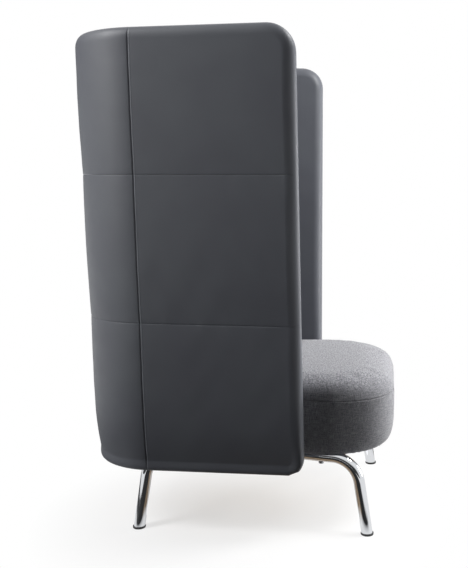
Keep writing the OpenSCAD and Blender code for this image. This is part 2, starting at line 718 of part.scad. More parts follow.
module seat_base_board() {
    color(ply_colour) difference() {
        translate([0, 0, seat_under]) linear_extrude(base_t)
            polygon(seat_outline(seat_under, board_inset));
        both_sides() at_leg_bolts() translate([0, 0, base_top - run_z - insert_flange_t]) insert_cut(base_t);
    }
}
module seat_box_frame() {
    color(ply_colour) difference() {
        translate([0, 0, base_top]) linear_extrude(box_h) difference() {
            polygon(seat_outline(base_top, box_inset));
            polygon(seat_outline(base_top, inset_by(box_inset, rail_t)));
        }
        shell_bolt_cuts(bolt_d + 2*hole_gap, 2*wall_t + side_pad_t);
    }
}
cross_strap_shares = [0.3, 0.78];
long_strap_share = 0.62;
module seat_cross_straps() {
    color(web_colour) for (i = [0:strap_count - 1])
        let (share = mix(cross_strap_shares[0], cross_strap_shares[1], i/(strap_count - 1)),
            y = mix(-seat_front, seat_rear(base_top), share), x = box_half(y + strap_w) - rail_t/4)
            translate([-x, y - strap_w/2, box_top]) cube([2*x, strap_w, strap_t]);
}
module seat_long_straps() {
    front = -seat_front + box_inset[0] + rail_t/4;
    front_r = seat_corner_r - seat_round_share*box_inset[0];
    rear_r = corner_r(base_top) - wall_t - seat_gap;
    color(web_colour) for (i = [0:strap_count - 1])
        let (x = mix(-1, 1, i/(strap_count - 1))*long_strap_share*box_half(0), reach = abs(x) + strap_w/2,
            a = front + arc_cut(box_half(front) - reach, front_r),
            b = box_rear - rail_t/4 - arc_cut(box_half(box_rear) - reach, rear_r))
            translate([x - strap_w/2, a, box_top + strap_t + pad_gap]) cube([strap_w, b - a, strap_t]);
}
module seat_foam() {
    color(foam_colour) translate([0, 0, straps_top])
        linear_extrude(seam_low_face - straps_top) polygon(seat_outline(base_top, box_inset));
}
module seat_side_band() {
    color(seat_colour) difference() {
        hollow_solid(concat(
            [for (p = low_shares) let (z = mix(hem_z, seam_low_face, p.x))
                lift(seat_outline(z, p.y*low_draw), z)],
            [lift(seat_outline(base_top, box_fit), seam_low_face)],
            [lift(seat_outline(base_top, box_fit), base_top + pad_gap)],
            [lift(seat_outline(seat_under, board_fit), base_top + pad_gap)],
            [lift(seat_outline(seat_under, board_fit), hem_z)]));
        shell_bolt_cuts(sleeve_d + 2*hole_gap, 2*wall_t);
    }
}
module seat_top_cushion() {
    middle = -seat_front/6;
    color(seat_colour) ring_solid(
        [for (p = crown_shares) let (z = mix(seam_high_face, seat_top, p.x))
            lift(seat_outline(z, p.y*crown_draw), z)],
        [0, middle, seam_high_face], [0, middle, seat_top]);
}

module backrest_board() {
    color(ply_colour) difference() {
        translate([0, back_y(rest_board_low) - wall_t - pad_gap, rest_board_low]) rotate([-rest_lean, 0, 0])
            translate([-rest_board_w/2, -rest_board_t, 0]) cube([rest_board_w, rest_board_t, rest_board_h]);
        rest_screw_cut();
    }
}
module backrest_cushion() {
    middle = (rest_front_top + back_top - wall_t)/2;
    color(seat_colour) ring_solid(
        [for (p = rest_shares) let (z = mix(rest_base, rest_top, p.x))
            lift(rest_outline(z, p.x, p.y), z)],
        [0, middle, rest_base], [0, middle, rest_top]);
}
module backrest_screws() {
    color(zinc_colour) at_rest_screws() {
        drill(rest_screw_d, 0, rest_screw_len);
        drill(2*rest_screw_d, -rest_screw_d/2, 0);
    }
}

module shell_bolts() {
    color(zinc_colour) {
        both_sides() for (i = [0, 1]) let (y = [-shell_bolt_front, shell_bolt_rear][i])
            translate([-side_floor[i], y, shell_bolt_z]) rotate([0, -90, 0])
                machine_bolt(-rail_face[i] - rail_t - hole_gap, 0);
        at_back_bolts() machine_bolt(-back_rail_face - rail_t, 0);
    }
}
module shell_inserts() {
    color(zinc_colour) {
        both_sides() at_side_bolts() insert(core_t/2);
        at_back_bolts() insert(core_t/2);
    }
}
module sleeve(from, to) {
    difference() {
        drill(sleeve_d, from, to);
        drill(bolt_d + 2*hole_gap, from - over, to + over);
    }
}
lean_slack = sleeve_d/2*(half_front(shell_top) - half_front(shell_bottom))/(shell_top - shell_bottom);
module shell_sleeves() {
    color(zinc_colour) {
        both_sides() for (i = [0, 1]) let (y = [-shell_bolt_front, shell_bolt_rear][i])
            translate([-side_floor[i], y, shell_bolt_z]) rotate([0, -90, 0])
                sleeve(-rail_face[i] + hole_gap + pad_gap, insert_flange_t - core_face - lean_slack/4);
        at_back_bolts() sleeve(-back_rail_face, insert_flange_t - core_face);
    }
}

module right_leg_tube() leg_tube();
module left_leg_tube() mirror([1, 0, 0]) leg_tube();
module leg_saddles() color(black_colour) both_sides() at_leg_bolts() saddle();
module leg_bolts() color(zinc_colour) both_sides() at_leg_bolts() machine_bolt(-tube_d/2, leg_bolt_top);
module leg_inserts() {
    color(zinc_colour) both_sides() at_leg_bolts()
        translate([0, 0, base_top - run_z - insert_flange_t]) insert(base_t*insert_share);
}
module front_right_glide() color(black_colour) on_front_half() glide(run_turn, leg_lean);
module front_left_glide() mirror([1, 0, 0]) front_right_glide();
module rear_right_glide() color(black_colour) on_rear_half() glide(rear_turn, rear_lean);
module rear_left_glide() mirror([1, 0, 0]) rear_right_glide();

back_core();
right_side_core();
left_side_core();
back_cover_bottom();
back_cover_middle();
back_cover_top();
right_cover_bottom();
right_cover_middle();
right_cover_top();
left_cover_bottom();
left_cover_middle();
left_cover_top();
back_lining();
right_lining();
left_lining();
right_seam_strip();
left_seam_strip();
seam_strip_screws();
seat_base_board();
seat_box_frame();
seat_cross_straps();
seat_long_straps();
seat_foam();
seat_side_band();
seat_top_cushion();
backrest_board();
backrest_cushion();
backrest_screws();
shell_bolts();
shell_inserts();
shell_sleeves();
right_leg_tube();
left_leg_tube();
leg_saddles();
leg_bolts();
leg_inserts();
front_right_glide();
front_left_glide();
rear_right_glide();
rear_left_glide();
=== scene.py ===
# Acoustic high back lounge chair: covers, cushions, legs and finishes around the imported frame.
import json
import math

import bmesh
import bpy
import numpy as np
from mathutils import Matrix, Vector


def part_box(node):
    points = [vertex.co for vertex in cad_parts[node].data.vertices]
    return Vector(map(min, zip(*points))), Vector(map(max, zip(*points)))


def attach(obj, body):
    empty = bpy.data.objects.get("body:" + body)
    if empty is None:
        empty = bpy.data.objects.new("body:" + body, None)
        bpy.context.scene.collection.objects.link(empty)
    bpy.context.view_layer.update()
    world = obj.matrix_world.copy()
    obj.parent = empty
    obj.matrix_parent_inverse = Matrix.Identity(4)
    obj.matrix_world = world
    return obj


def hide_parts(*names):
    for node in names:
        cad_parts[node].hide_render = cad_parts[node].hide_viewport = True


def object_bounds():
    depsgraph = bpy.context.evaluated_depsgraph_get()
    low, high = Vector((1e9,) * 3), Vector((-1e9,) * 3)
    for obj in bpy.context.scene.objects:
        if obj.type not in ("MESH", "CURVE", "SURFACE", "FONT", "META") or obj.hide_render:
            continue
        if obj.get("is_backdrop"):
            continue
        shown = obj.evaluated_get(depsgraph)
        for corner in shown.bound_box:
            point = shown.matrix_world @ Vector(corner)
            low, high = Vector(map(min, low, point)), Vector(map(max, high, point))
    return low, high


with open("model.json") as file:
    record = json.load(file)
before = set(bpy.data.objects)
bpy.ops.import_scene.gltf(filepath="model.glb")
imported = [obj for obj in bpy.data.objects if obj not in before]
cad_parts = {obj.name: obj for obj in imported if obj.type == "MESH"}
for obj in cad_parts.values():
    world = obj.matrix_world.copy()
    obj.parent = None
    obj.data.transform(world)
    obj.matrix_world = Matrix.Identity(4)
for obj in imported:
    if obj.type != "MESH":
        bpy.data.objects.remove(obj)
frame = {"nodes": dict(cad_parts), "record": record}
cadLow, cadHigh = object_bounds()
mm = 0.001
print("frame loaded")


# colour and nodes

perMm = 1/mm  # a pattern's scale is perMm over its size in mm


def linear(hexColour):  # sRGB hex to linear red, green, blue, alpha
    parts = [int(hexColour[i:i + 2], 16)/255 for i in (1, 3, 5)]
    return [c/12.92 if c <= 0.04045 else ((c + 0.055)/1.055)**2.4 for c in parts] + [1.0]


# Adds a node. Inputs are values or links by name or place, stops are (place, hex colour) of a
# colour ramp, and the rest are the node's own settings. Gives back one output, the first if unnamed.
def addNode(tree, kind, inputs=None, out=0, stops=(), **settings):
    node = tree.nodes.new("ShaderNode" + kind)
    for key, value in settings.items():
        setattr(node, key, value)
    for _ in stops[2:]:
        node.color_ramp.elements.new(0.5)
    for place, (position, colour) in enumerate(stops):
        element = node.color_ramp.elements[place]
        element.position, element.color = position, linear(colour)
    for key, value in (inputs or {}).items():
        if isinstance(value, bpy.types.NodeSocket):
            tree.links.new(value, node.inputs[key])
        else:
            node.inputs[key].default_value = value
    return node.outputs[out] if node.outputs else node


def newMaterial(name, plain):  # one Principled shader, with the values that are plain all over
    material = bpy.data.materials.new(name)
    material.use_nodes = True
    tree = material.node_tree
    tree.nodes.clear()
    shader = addNode(tree, "BsdfPrincipled", plain).node
    addNode(tree, "OutputMaterial", {"Surface": shader.outputs["BSDF"]})
    return material, tree, shader


def link(tree, shader, sockets):
    for key, value in sockets.items():
        tree.links.new(value, shader.inputs[key])


# Smooth corrected-grain leather: pigment coat pressed with a fine pebble, so it is matt with a soft
# satin gloss, a little uneven in tone, and brighter at grazing angles. Sizes are in mm.
coverLeather = {
    "dark": "#56585f", "light": "#5b5e64", "tone": 160, "pebble": 1.6, "pebbleDepth": 0.04,
    "polish": 35, "roughness": (0.47, 0.52),
}


def leatherMaterial(name, look):
    material, tree, shader = newMaterial(name, {"Roughness": 0.5, "IOR": 1.48, "Sheen Weight": 0.15,
        "Sheen Roughness": 0.35, "Specular IOR Level": 0.5})
    coords = addNode(tree, "TexCoord", out="Object")
    tone = addNode(tree, "TexNoise", {"Vector": coords, "Scale": perMm/look["tone"], "Detail": 2})
    pebbles = addNode(tree, "TexVoronoi", {"Vector": coords, "Scale": perMm/look["pebble"], "Smoothness": 0.6},
        feature="SMOOTH_F1")
    grain = addNode(tree, "TexNoise", {"Vector": coords, "Scale": perMm/(0.7*look["pebble"]), "Detail": 3})
    height = addNode(tree, "Math", {0: pebbles, 1: -0.8, 2: grain}, operation="MULTIPLY_ADD")
    polish = addNode(tree, "TexNoise", {"Vector": coords, "Scale": perMm/look["polish"], "Detail": 3})
    link(tree, shader, {
        "Base Color": addNode(tree, "ValToRGB", {"Fac": tone},
            stops=((0.3, look["dark"]), (0.7, look["light"]))),
        "Roughness": addNode(tree, "MapRange", {"Value": polish, "From Min": 0.3, "From Max": 0.7,
            "To Min": look["roughness"][0], "To Max": look["roughness"][1]}),
        "Normal": addNode(tree, "Bump", {"Height": height, "Distance": look["pebbleDepth"]*mm, "Strength": 1}),
    })
    return material


# Melange wool weave: light and dark fibres spun together and woven plain, which reads as fine
# speckle with short slubs along both threads. The threads are drawn 1.9 mm apart instead of
# about 1.1 mm, because finer ones would not show. On level faces a coarser mottle adds relief and painted shade:
# darker and lighter patches that stand in for the fibres shading each other under grazing light.
seatWeave = {
    "dark": "#4f4f55", "middle": "#8d8d92", "light": "#c2c2c7", "thread": 1.9, "slub": 22, "speck": 2.6,
    "napAndShade": 5, "napAndShadeShare": 0.14, "depth": 0.35,
}


def weaveMaterial(name, look):
    material, tree, shader = newMaterial(name, {"Roughness": 0.92, "IOR": 1.45, "Sheen Weight": 0.35,
        "Sheen Roughness": 0.5, "Specular IOR Level": 0.25})
    uv = addNode(tree, "UVMap", uv_map="cloth")
    threads, fibres = [], []
    along = look["thread"]/look["slub"]
    for axis, stretch in (("X", (1, along, 1)), ("Y", (along, 1, 1))):  # warp, then weft
        run = addNode(tree, "SeparateXYZ", {"Vector": uv}, axis)
        turns = addNode(tree, "Math", {0: run, 1: math.pi/(look["thread"]*mm)}, operation="MULTIPLY")
        threads.append(addNode(tree, "Math", {0: turns}, operation="SINE"))
        scaled = addNode(tree, "Mapping", {"Vector": uv, "Scale": stretch})
        fibres.append(addNode(tree, "TexNoise", {"Vector": scaled, "Scale": perMm/look["thread"], "Detail": 2,
            "Roughness": 0.6}))
    weave = addNode(tree, "Math", {0: threads[0], 1: threads[1]}, operation="MULTIPLY")
    over = addNode(tree, "MapRange", {"Value": weave, "From Min": -0.5, "From Max": 0.5})
    fibre = addNode(tree, "Mix", {"Factor": over, "A": fibres[0], "B": fibres[1]})
    speck = addNode(tree, "TexNoise",
        {"Vector": uv, "Scale": perMm/look["speck"], "Detail": 3, "Roughness": 0.7})
    spun = addNode(tree, "Mix", {"Factor": 0.4, "A": fibre, "B": speck})
    upward = addNode(tree, "SeparateXYZ", {"Vector": addNode(tree, "NewGeometry", out="Normal")}, "Z")
    level = addNode(tree, "MapRange", {"Value": upward, "From Min": 0.4, "From Max": 0.95})
    # Painted shade on level faces: a coarse mottle added to the colour and the relief, standing in for fibres
    # that shade each other under grazing light
    napAndShade = addNode(tree, "TexNoise", {"Vector": uv, "Scale": perMm/look["napAndShade"], "Detail": 2, "Roughness": 0.6})
    napAndShade = addNode(tree, "MapRange", {"Value": napAndShade, "From Min": 0.25, "From Max": 0.75,
        "To Min": -look["napAndShadeShare"], "To Max": look["napAndShadeShare"]})
    spun = addNode(tree, "Math", {0: napAndShade, 1: level, 2: spun}, operation="MULTIPLY_ADD")
    height = addNode(tree, "Math", {0: spun, 1: 1.2, 2: addNode(tree, "Math", {0: weave}, operation="ABSOLUTE")},
        operation="MULTIPLY_ADD")
    link(tree, shader, {
        "Base Color": addNode(tree, "ValToRGB", {"Fac": spun},
            stops=((0.34, look["dark"]), (0.5, look["middle"]), (0.66, look["light"]))),
        "Normal": addNode(tree, "Bump", {"Height": height, "Distance": look["depth"]*mm, "Strength": 0.7}),
    })
    return material


# Finishes with one or two fine patterns on a plain ground: a broad one for tone and gloss, and a
# fine one for relief. Sizes and depths are in mm.
plainLooks = {
    # Polished chrome over steel: mirror bright, with the faintest haze and waves from buffing.
    "leg_steel_chromed_polished": {"plain": {"Base Color": linear("#d9dbde"), "Metallic": 1},
        "gloss": "broad", "broad": 18, "broadDetail": 4, "range": (0.35, 0.7),
        "roughness": (0.035, 0.085), "fine": 3, "fineDetail": 1, "depth": 0.004, "strength": 0.3},
    # Zinc plated steel: a greyish metal with a mottled, slightly cloudy passivation.
    "fastener_steel_zinc_plated": {"plain": {"Metallic": 1}, "gloss": "broad",
        "broad": 6, "broadDetail": 4, "range": (0.3, 0.7), "colours": ("#9b9da2", "#bfc1c5"),
        "roughness": (0.28, 0.45), "fine": 0.8, "fineDetail": 3, "depth": 0.02},
    # Injection moulded nylon: near black with a fine spark eroded texture.
    "glide_nylon_moulded": {"plain": {"IOR": 1.53}, "gloss": "fine",
        "broad": 9, "broadDetail": 3, "range": (0.3, 0.7), "colours": ("#131314", "#1d1d1f"),
        "roughness": (0.4, 0.55), "fine": 0.6, "fineDetail": 2, "depth": 0.03},
}


def plainMaterial(name):
    look = plainLooks[name]
    material, tree, shader = newMaterial(name, look["plain"])
    coords = addNode(tree, "TexCoord", out="Object")
    pattern = {word: addNode(tree, "TexNoise", {"Vector": coords, "Scale": perMm/look[word],
        "Detail": look[word + "Detail"]}) for word in ("broad", "fine")}
    if "colours" in look:
        link(tree, shader, {"Base Color": addNode(tree, "ValToRGB", {"Fac": pattern["broad"]},
            stops=tuple(zip(look["range"], look["colours"])))})
    link(tree, shader, {
        "Roughness": addNode(tree, "MapRange", {"Value": pattern[look["gloss"]], "From Min": look["range"][0],
            "From Max": look["range"][1], "To Min": look["roughness"][0], "To Max": look["roughness"][1]}),
        "Normal": addNode(tree, "Bump", {"Height": pattern["fine"], "Distance": look["depth"]*mm,
            "Strength": look.get("strength", 1)}),
    })
    return material


# Birch plywood, sanded: pale rotary cut faces with long soft figure, and thin glue lines that
# show as stripes across the edges. Sizes are in mm.
plywood = {
    "light": "#d2b58a", "dark": "#b08d5e", "glue": "#7d5a36", "glueShare": 0.45,
    "figure": 26, "figureLong": 0.12,
    "pore": 1.2, "poreLong": 0.08, "poreDepth": 0.05, "ply": 1.5, "roughness": (0.52, 0.66),
}


def plywoodMaterial(name, look):
    material, tree, shader = newMaterial(name, {"Roughness": 0.6, "IOR": 1.5})
    coords = addNode(tree, "TexCoord", out="Object")
    long = [addNode(tree, "Mapping", {"Vector": coords, "Scale": (1, look[key], 1)})
        for key in ("figureLong", "poreLong")]
    figure = addNode(tree, "TexNoise", {"Vector": long[0], "Scale": perMm/look["figure"], "Detail": 5,
        "Roughness": 0.6})
    pore = addNode(tree, "TexNoise", {"Vector": long[1], "Scale": perMm/look["pore"], "Detail": 2})
    tone = addNode(tree, "Mix", {"Factor": 0.25, "A": figure, "B": pore})
    face = addNode(tree, "ValToRGB", {"Fac": tone}, stops=((0.35, look["dark"]), (0.6, look["light"])))
    height = addNode(tree, "SeparateXYZ", {"Vector": coords}, "Z")
    turns = addNode(tree, "Math", {0: height, 1: math.pi/(look["ply"]*mm)}, operation="MULTIPLY")
    stripe = addNode(tree, "MapRange", {"Value": addNode(tree, "Math", {0: turns}, operation="SINE"),
        "From Min": -0.2, "From Max": 0.2, "To Max": look["glueShare"]})
    upward = addNode(tree, "SeparateXYZ", {"Vector": addNode(tree, "NewGeometry", out="Normal")}, "Z")
    upright = addNode(tree, "Math", {0: addNode(tree, "Math", {0: upward}, operation="ABSOLUTE"), 1: 0.5},
        operation="LESS_THAN")
    glue = addNode(tree, "Math", {0: stripe, 1: upright}, operation="MULTIPLY")
    link(tree, shader, {
        "Base Color": addNode(tree, "Mix", {"Factor": glue, 6: face, 7: linear(look["glue"])}, 2,
            data_type="RGBA"),
        "Normal": addNode(tree, "Bump", {"Height": pore, "Distance": look["poreDepth"]*mm, "Strength": 1}),
        "Roughness": addNode(tree, "MapRange", {"Value": figure, "From Min": 0.3, "From Max": 0.7,
            "To Min": look["roughness"][0], "To Max": look["roughness"][1]}),
    })
    return material


# Cut polyether foam: pale, open celled and quite matt. Sizes are in mm.
cutFoam = {"cell": 2.2, "dark": "#c9bf9a", "light": "#e8dfc0", "depth": 0.6}


def foamMaterial(name, look):
    material, tree, shader = newMaterial(name, {"Roughness": 0.95})
    coords = addNode(tree, "TexCoord", out="Object")
    cells = addNode(tree, "TexVoronoi", {"Vector": coords, "Scale": perMm/look["cell"]})
    link(tree, shader, {
        "Base Color": addNode(tree, "ValToRGB", {"Fac": cells},
            stops=((0.1, look["dark"]), (0.6, look["light"]))),
        "Normal": addNode(tree, "Bump", {"Height": cells, "Distance": look["depth"]*mm, "Strength": 1}),
    })
    return material


# Elastic upholstery webbing: black polypropylene ribs along the strap. Sizes are in mm.
strapWeb = {"rib": 3, "dark": "#1d1d20", "light": "#36363a", "depth": 0.3}


def webbingMaterial(name, look):
    material, tree, shader = newMaterial(name, {"Roughness": 0.8, "Sheen Weight": 0.2})
    coords = addNode(tree, "TexCoord", out="Object")
    ribs = addNode(tree, "TexWave", {"Vector": coords, "Scale": perMm/look["rib"]/math.tau, "Distortion": 0.6},
        "Fac", bands_direction="DIAGONAL")
    link(tree, shader, {
        "Base Color": addNode(tree, "ValToRGB", {"Fac": ribs},
            stops=((0.2, look["dark"]), (0.8, look["light"]))),
        "Normal": addNode(tree, "Bump", {"Height": ribs, "Distance": look["depth"]*mm, "Strength": 1}),
    })
    return material


finishes = {
    "shell_cover": leatherMaterial("cover_leather_corrected_grain", coverLeather),
    "seat_fabric": weaveMaterial("seat_wool_melange_woven", seatWeave),
    "chromed_steel": plainMaterial("leg_steel_chromed_polished"),
    "zinc_steel": plainMaterial("fastener_steel_zinc_plated"),
    "black_plastic": plainMaterial("glide_nylon_moulded"),
    "plywood": plywoodMaterial("frame_birch_plywood_sanded", plywood),
    "foam": foamMaterial("seat_foam_cut", cutFoam),
    "webbing": webbingMaterial("seat_webbing_woven", strapWeb),
}
print("materials made:", len(finishes))


# meshes

def mix(a, b, t):
    return a + (b - a)*t


def gridQuads(rows, cols, wrap=False):  # corner numbers of the cells of a rows x cols grid
    i, j = np.meshgrid(np.arange(rows - 1), np.arange(cols if wrap else cols - 1), indexing="ij")
    a, b = i*cols + j, i*cols + (j + 1) % cols
    return np.stack([a, b, b + cols, a + cols], -1).reshape(-1, 4)


def makePiece(name, points, quads, slot, replaced=(), fill=None, sharp=40, finish=True):
    # points in mm; doubles are merged, poles become triangles and faces are turned outwards
    mesh = bpy.data.meshes.new(name)
    mesh.from_pydata((np.asarray(points)*mm).tolist(), [], np.asarray(quads).tolist())
    work = bmesh.new()
    work.from_mesh(mesh)
    bmesh.ops.remove_doubles(work, verts=work.verts, dist=0.01*mm)
    bmesh.ops.recalc_face_normals(work, faces=work.faces)
    work.to_mesh(mesh)
    work.free()
    piece = bpy.data.objects.new(name, mesh)
    bpy.context.scene.collection.objects.link(piece)
    if finish:
        finishPiece(piece, slot, replaced, sharp)
    return piece


def finishPiece(piece, slot, replaced, sharp=40):
    piece.data.shade_smooth()
    piece.data.set_sharp_from_angle(angle=math.radians(sharp))
    piece.data.materials.clear()
    piece.data.materials.append(finishes[slot])
    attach(piece, "root")
    if replaced:
        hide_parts(*replaced)


# shell

shell = {  # mm, as the frame was built
    "top": cadHigh.z/mm, "bottom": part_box("back_cover_bottom")[0].z/mm, "wall": 62,
    "frontHalf": (336, 482), "seamHalf": (321, 434), "frontEdge": (202, 194), "back": (423, 450),
    "cornerDepth": (190, 209), "topCorner": 75, "lowCorner": 42, "levels": (592, 992),
    "nose": 32, "cover": 24, "core": 12, "lip": 1.5, "strip": 3, "stripRoom": 44, "gap": 0.3,
    "crease": 2.0, "creaseWidth": 1.6, "dip": 0.5, "dipWidth": 9, "ridge": 0.45, "levelShare": 0.25,
    "swell": 3, "tuck": 12, "tuckHeight": 150, "pucker": 0.32, "puckerWidth": 16, "puckerLength": 34,
    "ripple": 0.3, "rippleSpan": 110, "step": 6, "lowEdge": 3.4, "lowEdgeHeight": 420,
}


def rise(z):
    return (z - shell["bottom"])/(shell["top"] - shell["bottom"])


def planAt(z):  # every size of the plan changes evenly with height
    t = rise(z)
    halfFront, halfSeam = mix(*shell["frontHalf"], t), mix(*shell["seamHalf"], t)
    frontY, backY = -mix(*shell["frontEdge"], t), mix(*shell["back"], t)
    seamY = backY - mix(*shell["cornerDepth"], t)
    turn = np.arctan2(halfFront - halfSeam, seamY - frontY)
    radius = (backY - seamY)/(np.cos(turn)*np.tan((math.pi/2 - turn)/2))
    return {"halfFront": halfFront, "halfSeam": halfSeam, "frontY": frontY, "backY": backY, "seamY": seamY,
        "turn": turn, "radius": radius, "sideLen": np.hypot(halfFront - halfSeam, seamY - frontY),
        "cornerLen": radius*(math.pi/2 - turn), "centreX": -halfSeam + radius*np.cos(turn),
        "centreY": seamY - radius*np.sin(turn)}


# Run s along the plan is negative on the straight side, then goes round the corner as an arc and
# across the back as a line; depth d is taken square to it, into the shell.
def shellPoint(s, z, d):
    p = planAt(z)
    sideX = -p["halfSeam"] + s*np.sin(p["turn"]) + d*np.cos(p["turn"])
    sideY = p["seamY"] + s*np.cos(p["turn"]) - d*np.sin(p["turn"])
    angle = math.pi - p["turn"] - s/p["radius"]
    arcX = p["centreX"] + (p["radius"] - d)*np.cos(angle)
    arcY = p["centreY"] + (p["radius"] - d)*np.sin(angle)
    onSide, onArc = s <= 0, s < p["cornerLen"]
    x = np.where(onSide, sideX, np.where(onArc, arcX, p["centreX"] + s - p["cornerLen"]))
    y = np.where(onSide, sideY, np.where(onArc, arcY, p["backY"] - d))
    return np.stack([x, y, z + 0*s], -1)


# Even steps of about size, with finer ones over a length at each end.
def steps(low, high, size, dense=(0, 0)):
    fine = np.array([0, 0.03, 0.07, 0.12, 0.18, 0.26, 0.36, 0.48, 0.62, 0.8])
    first, last = low + fine*dense[0], high - fine[::-1]*dense[1]
    count = max(2, int(round((high - dense[1] - low - dense[0])/size)) + 1)
    middle = np.linspace(low + dense[0], high - dense[1], count)
    ends = [first if dense[0] else [], middle, last if dense[1] else []]
    return np.unique(np.round(np.concatenate(ends), 4))


def noseSteps(n=12):  # quarter ellipse, evenly in angle: distance from the rim
    return shell["nose"]*(1 - np.cos(np.linspace(0, math.pi/2, n + 1)))


# The rounded rim is a quarter of a superellipse, round at the top and tighter towards the floor.
def nose(e, z, depth):
    power = mix(shell["lowEdge"], 2, np.clip((z - shell["bottom"])/shell["lowEdgeHeight"], 0, 1))
    t = 1 - np.clip(e/shell["nose"], 0, 1)
    return depth*(1 - np.clip(1 - t**power, 0, 1)**(1/power))


def groove(v):  # a sharp crease where the thread pulls, in a soft dip of the padding: two bell curves
    crease = shell["crease"]*np.exp(-(v/shell["creaseWidth"])**2)
    return crease + shell["dip"]*np.exp(-(v/shell["dipWidth"])**2)


def pucker(v, along, seed):  # short folds that run square to a seam and die out beside it
    rng = np.random.default_rng(seed)
    total = np.zeros(np.broadcast(v, along).shape)
    for length in shell["puckerLength"]*np.array([0.7, 1.0, 1.6, 2.7]):
        total += np.sin(along*math.tau/length + rng.uniform(0, math.tau))*rng.uniform(0.5, 1)
    return shell["pucker"]*total/2*np.exp(-(v/shell["puckerWidth"])**2)


def ripple(a, b, seed):  # uneven padding: a few long crossing waves, at most about 1 high
    rng = np.random.default_rng(seed)
    total = np.zeros(np.broadcast(a, b).shape)
    for _ in range(6):
        heading, length, phase = rng.uniform(0, math.pi), rng.uniform(0.6, 1.8), rng.uniform(0, math.tau)
        along = a*math.cos(heading) + b*math.sin(heading)
        total += np.sin(along*math.tau/(length*shell["rippleSpan"]) + phase)
    return total/3


def levelSeam(k, z):  # distance from the nearest level seam of tier k
    low = z - shell["levels"][k - 1] if k > 0 else np.full_like(z, 1e4)
    high = shell["levels"][k] - z if k < 2 else np.full_like(z, 1e4)
    return np.minimum(low, high)


def tierSpan(k):
    edges = [shell["bottom"], *shell["levels"], shell["top"]]
    return edges[k], edges[k + 1]


# Depth of the outer cover: the rim, then the grooves of its seams, a light ridge beside the upright
# one, a tuck towards the floor, folds and ripples, less a swell that is fullest halfway up a tier.
def coverFace(k, s, z, e, seed):
    low, high = tierSpan(k)
    t = (z - low)/(high - low)
    v = np.abs(s)
    beside = levelSeam(k, z)
    ridge = shell["ridge"]*np.exp(-((v - 2.6*shell["creaseWidth"])/shell["creaseWidth"])**2)*(s < 0)
    tuck = shell["tuck"]*np.clip(1 - (z - shell["bottom"])/shell["tuckHeight"], 0, 1)**2
    soft = groove(v) + shell["levelShare"]*groove(beside) + tuck - ridge - 4*shell["swell"]*t*(1 - t)
    soft = soft + pucker(v, z, seed) + pucker(beside, s, seed + 1) + shell["ripple"]*ripple(s, z, seed)
    return nose(e, z, shell["cover"] - shell["lip"]) + np.clip(e/shell["nose"], 0, 1)*soft


def coverBack(s, e):  # flat on the core, with room for the steel strip behind the upright seam
    room = (e > shell["nose"] - 0.1) & (np.abs(s) < shell["stripRoom"])
    return np.where(room, shell["cover"] - shell["strip"] - shell["gap"], shell["cover"])


def liningFace(s, z, e, seed):  # depth of the inner cover: the rim, a shallow groove, folds and ripples
    depth = shell["wall"] - shell["cover"] - shell["gap"] - shell["lip"]
    soft = shell["levelShare"]*groove(np.abs(s)) + pucker(np.abs(s), z, seed)
    soft = soft + shell["ripple"]*ripple(s, z, seed)
    return shell["wall"] - nose(e, z, depth) - np.clip(e/shell["nose"], 0, 1)*soft


def liningBack(e):  # flat on the core, and on the outer cover round the rim
    inner = shell["cover"] + shell["core"] + 2*shell["gap"]
    return np.where(e < shell["nose"] - 0.1, shell["cover"] + shell["gap"], inner)


# The panel's field is a grid whose front corners are bent round by the square-to-disc rule:
# x' = x sqrt(1 - y y/2), y' = y sqrt(1 - x x/2). The rim strips run outwards from its edges.
def sidePatches(low, high, rimLow, rimHigh):
    n, gap = shell["nose"], shell["gap"]/2
    zStart, zEnd = low + (n if rimLow else gap), high - (n if rimHigh else gap)
    corner = [shell["lowCorner"] - n if rimLow else 0, shell["topCorner"] - n if rimHigh else 0]
    dense = 2*shell["dipWidth"]
    ends = (corner[0] + 8 if rimLow else dense, corner[1] + 8 if rimHigh else dense)
    zs = steps(zStart, zEnd, shell["step"], ends)
    sideLen = planAt(np.array([(low + high)/2]))["sideLen"][0]
    us = steps(n, sideLen, shell["step"], (max(corner) + 8, dense))
    share = (us - n)/(sideLen - n)
    z, w = np.meshgrid(zs, share, indexing="ij")
    length = planAt(z)["sideLen"]
    u = n + w*(length - gap - n)
    normal = np.zeros(z.shape + (2,))
    normal[:, 0] = (-1, 0)
    if rimLow:
        normal[0, 1:] = (0, -1)
    if rimHigh:
        normal[-1, 1:] = (0, 1)
    for radius, edge, way in ((corner[0], zStart, -1), (corner[1], zEnd, 1)):
        if radius:
            a, b = u - n, (edge - z)*way
            x, y = np.clip(1 - a/radius, 0, 1), np.clip(1 - b/radius, 0, 1)
            inside = (a < radius) & (b < radius)
            bentX, bentY = x*np.sqrt(1 - y*y/2), y*np.sqrt(1 - x*x/2)
            u = np.where(inside, n + radius*(1 - bentX), u)
            z = np.where(inside, edge - way*radius*(1 - bentY), z)
            rim = inside & ((a < 1e-6) | (b < 1e-6))
            normal[rim] = np.stack([-bentX[rim], way*bentY[rim]], -1)
    patches = [(u, z, np.full_like(u, 2*n))]
    out = n - noseSteps()
    edges = [(u[:, 0], z[:, 0], normal[:, 0])]
    if rimLow:
        edges.append((u[0], z[0], normal[0]))
    if rimHigh:
        edges.append((u[-1], z[-1], normal[-1]))
    for eu, ez, en in edges:
        patches.append((eu + out[:, None]*en[:, 0], ez + out[:, None]*en[:, 1], n - out[:, None] + 0*eu))
    result = []
    for pu, pz, pe in patches:
        s = np.minimum(pu - planAt(pz)["sideLen"], -gap)
        result.append((s, pz, pe))
    return result


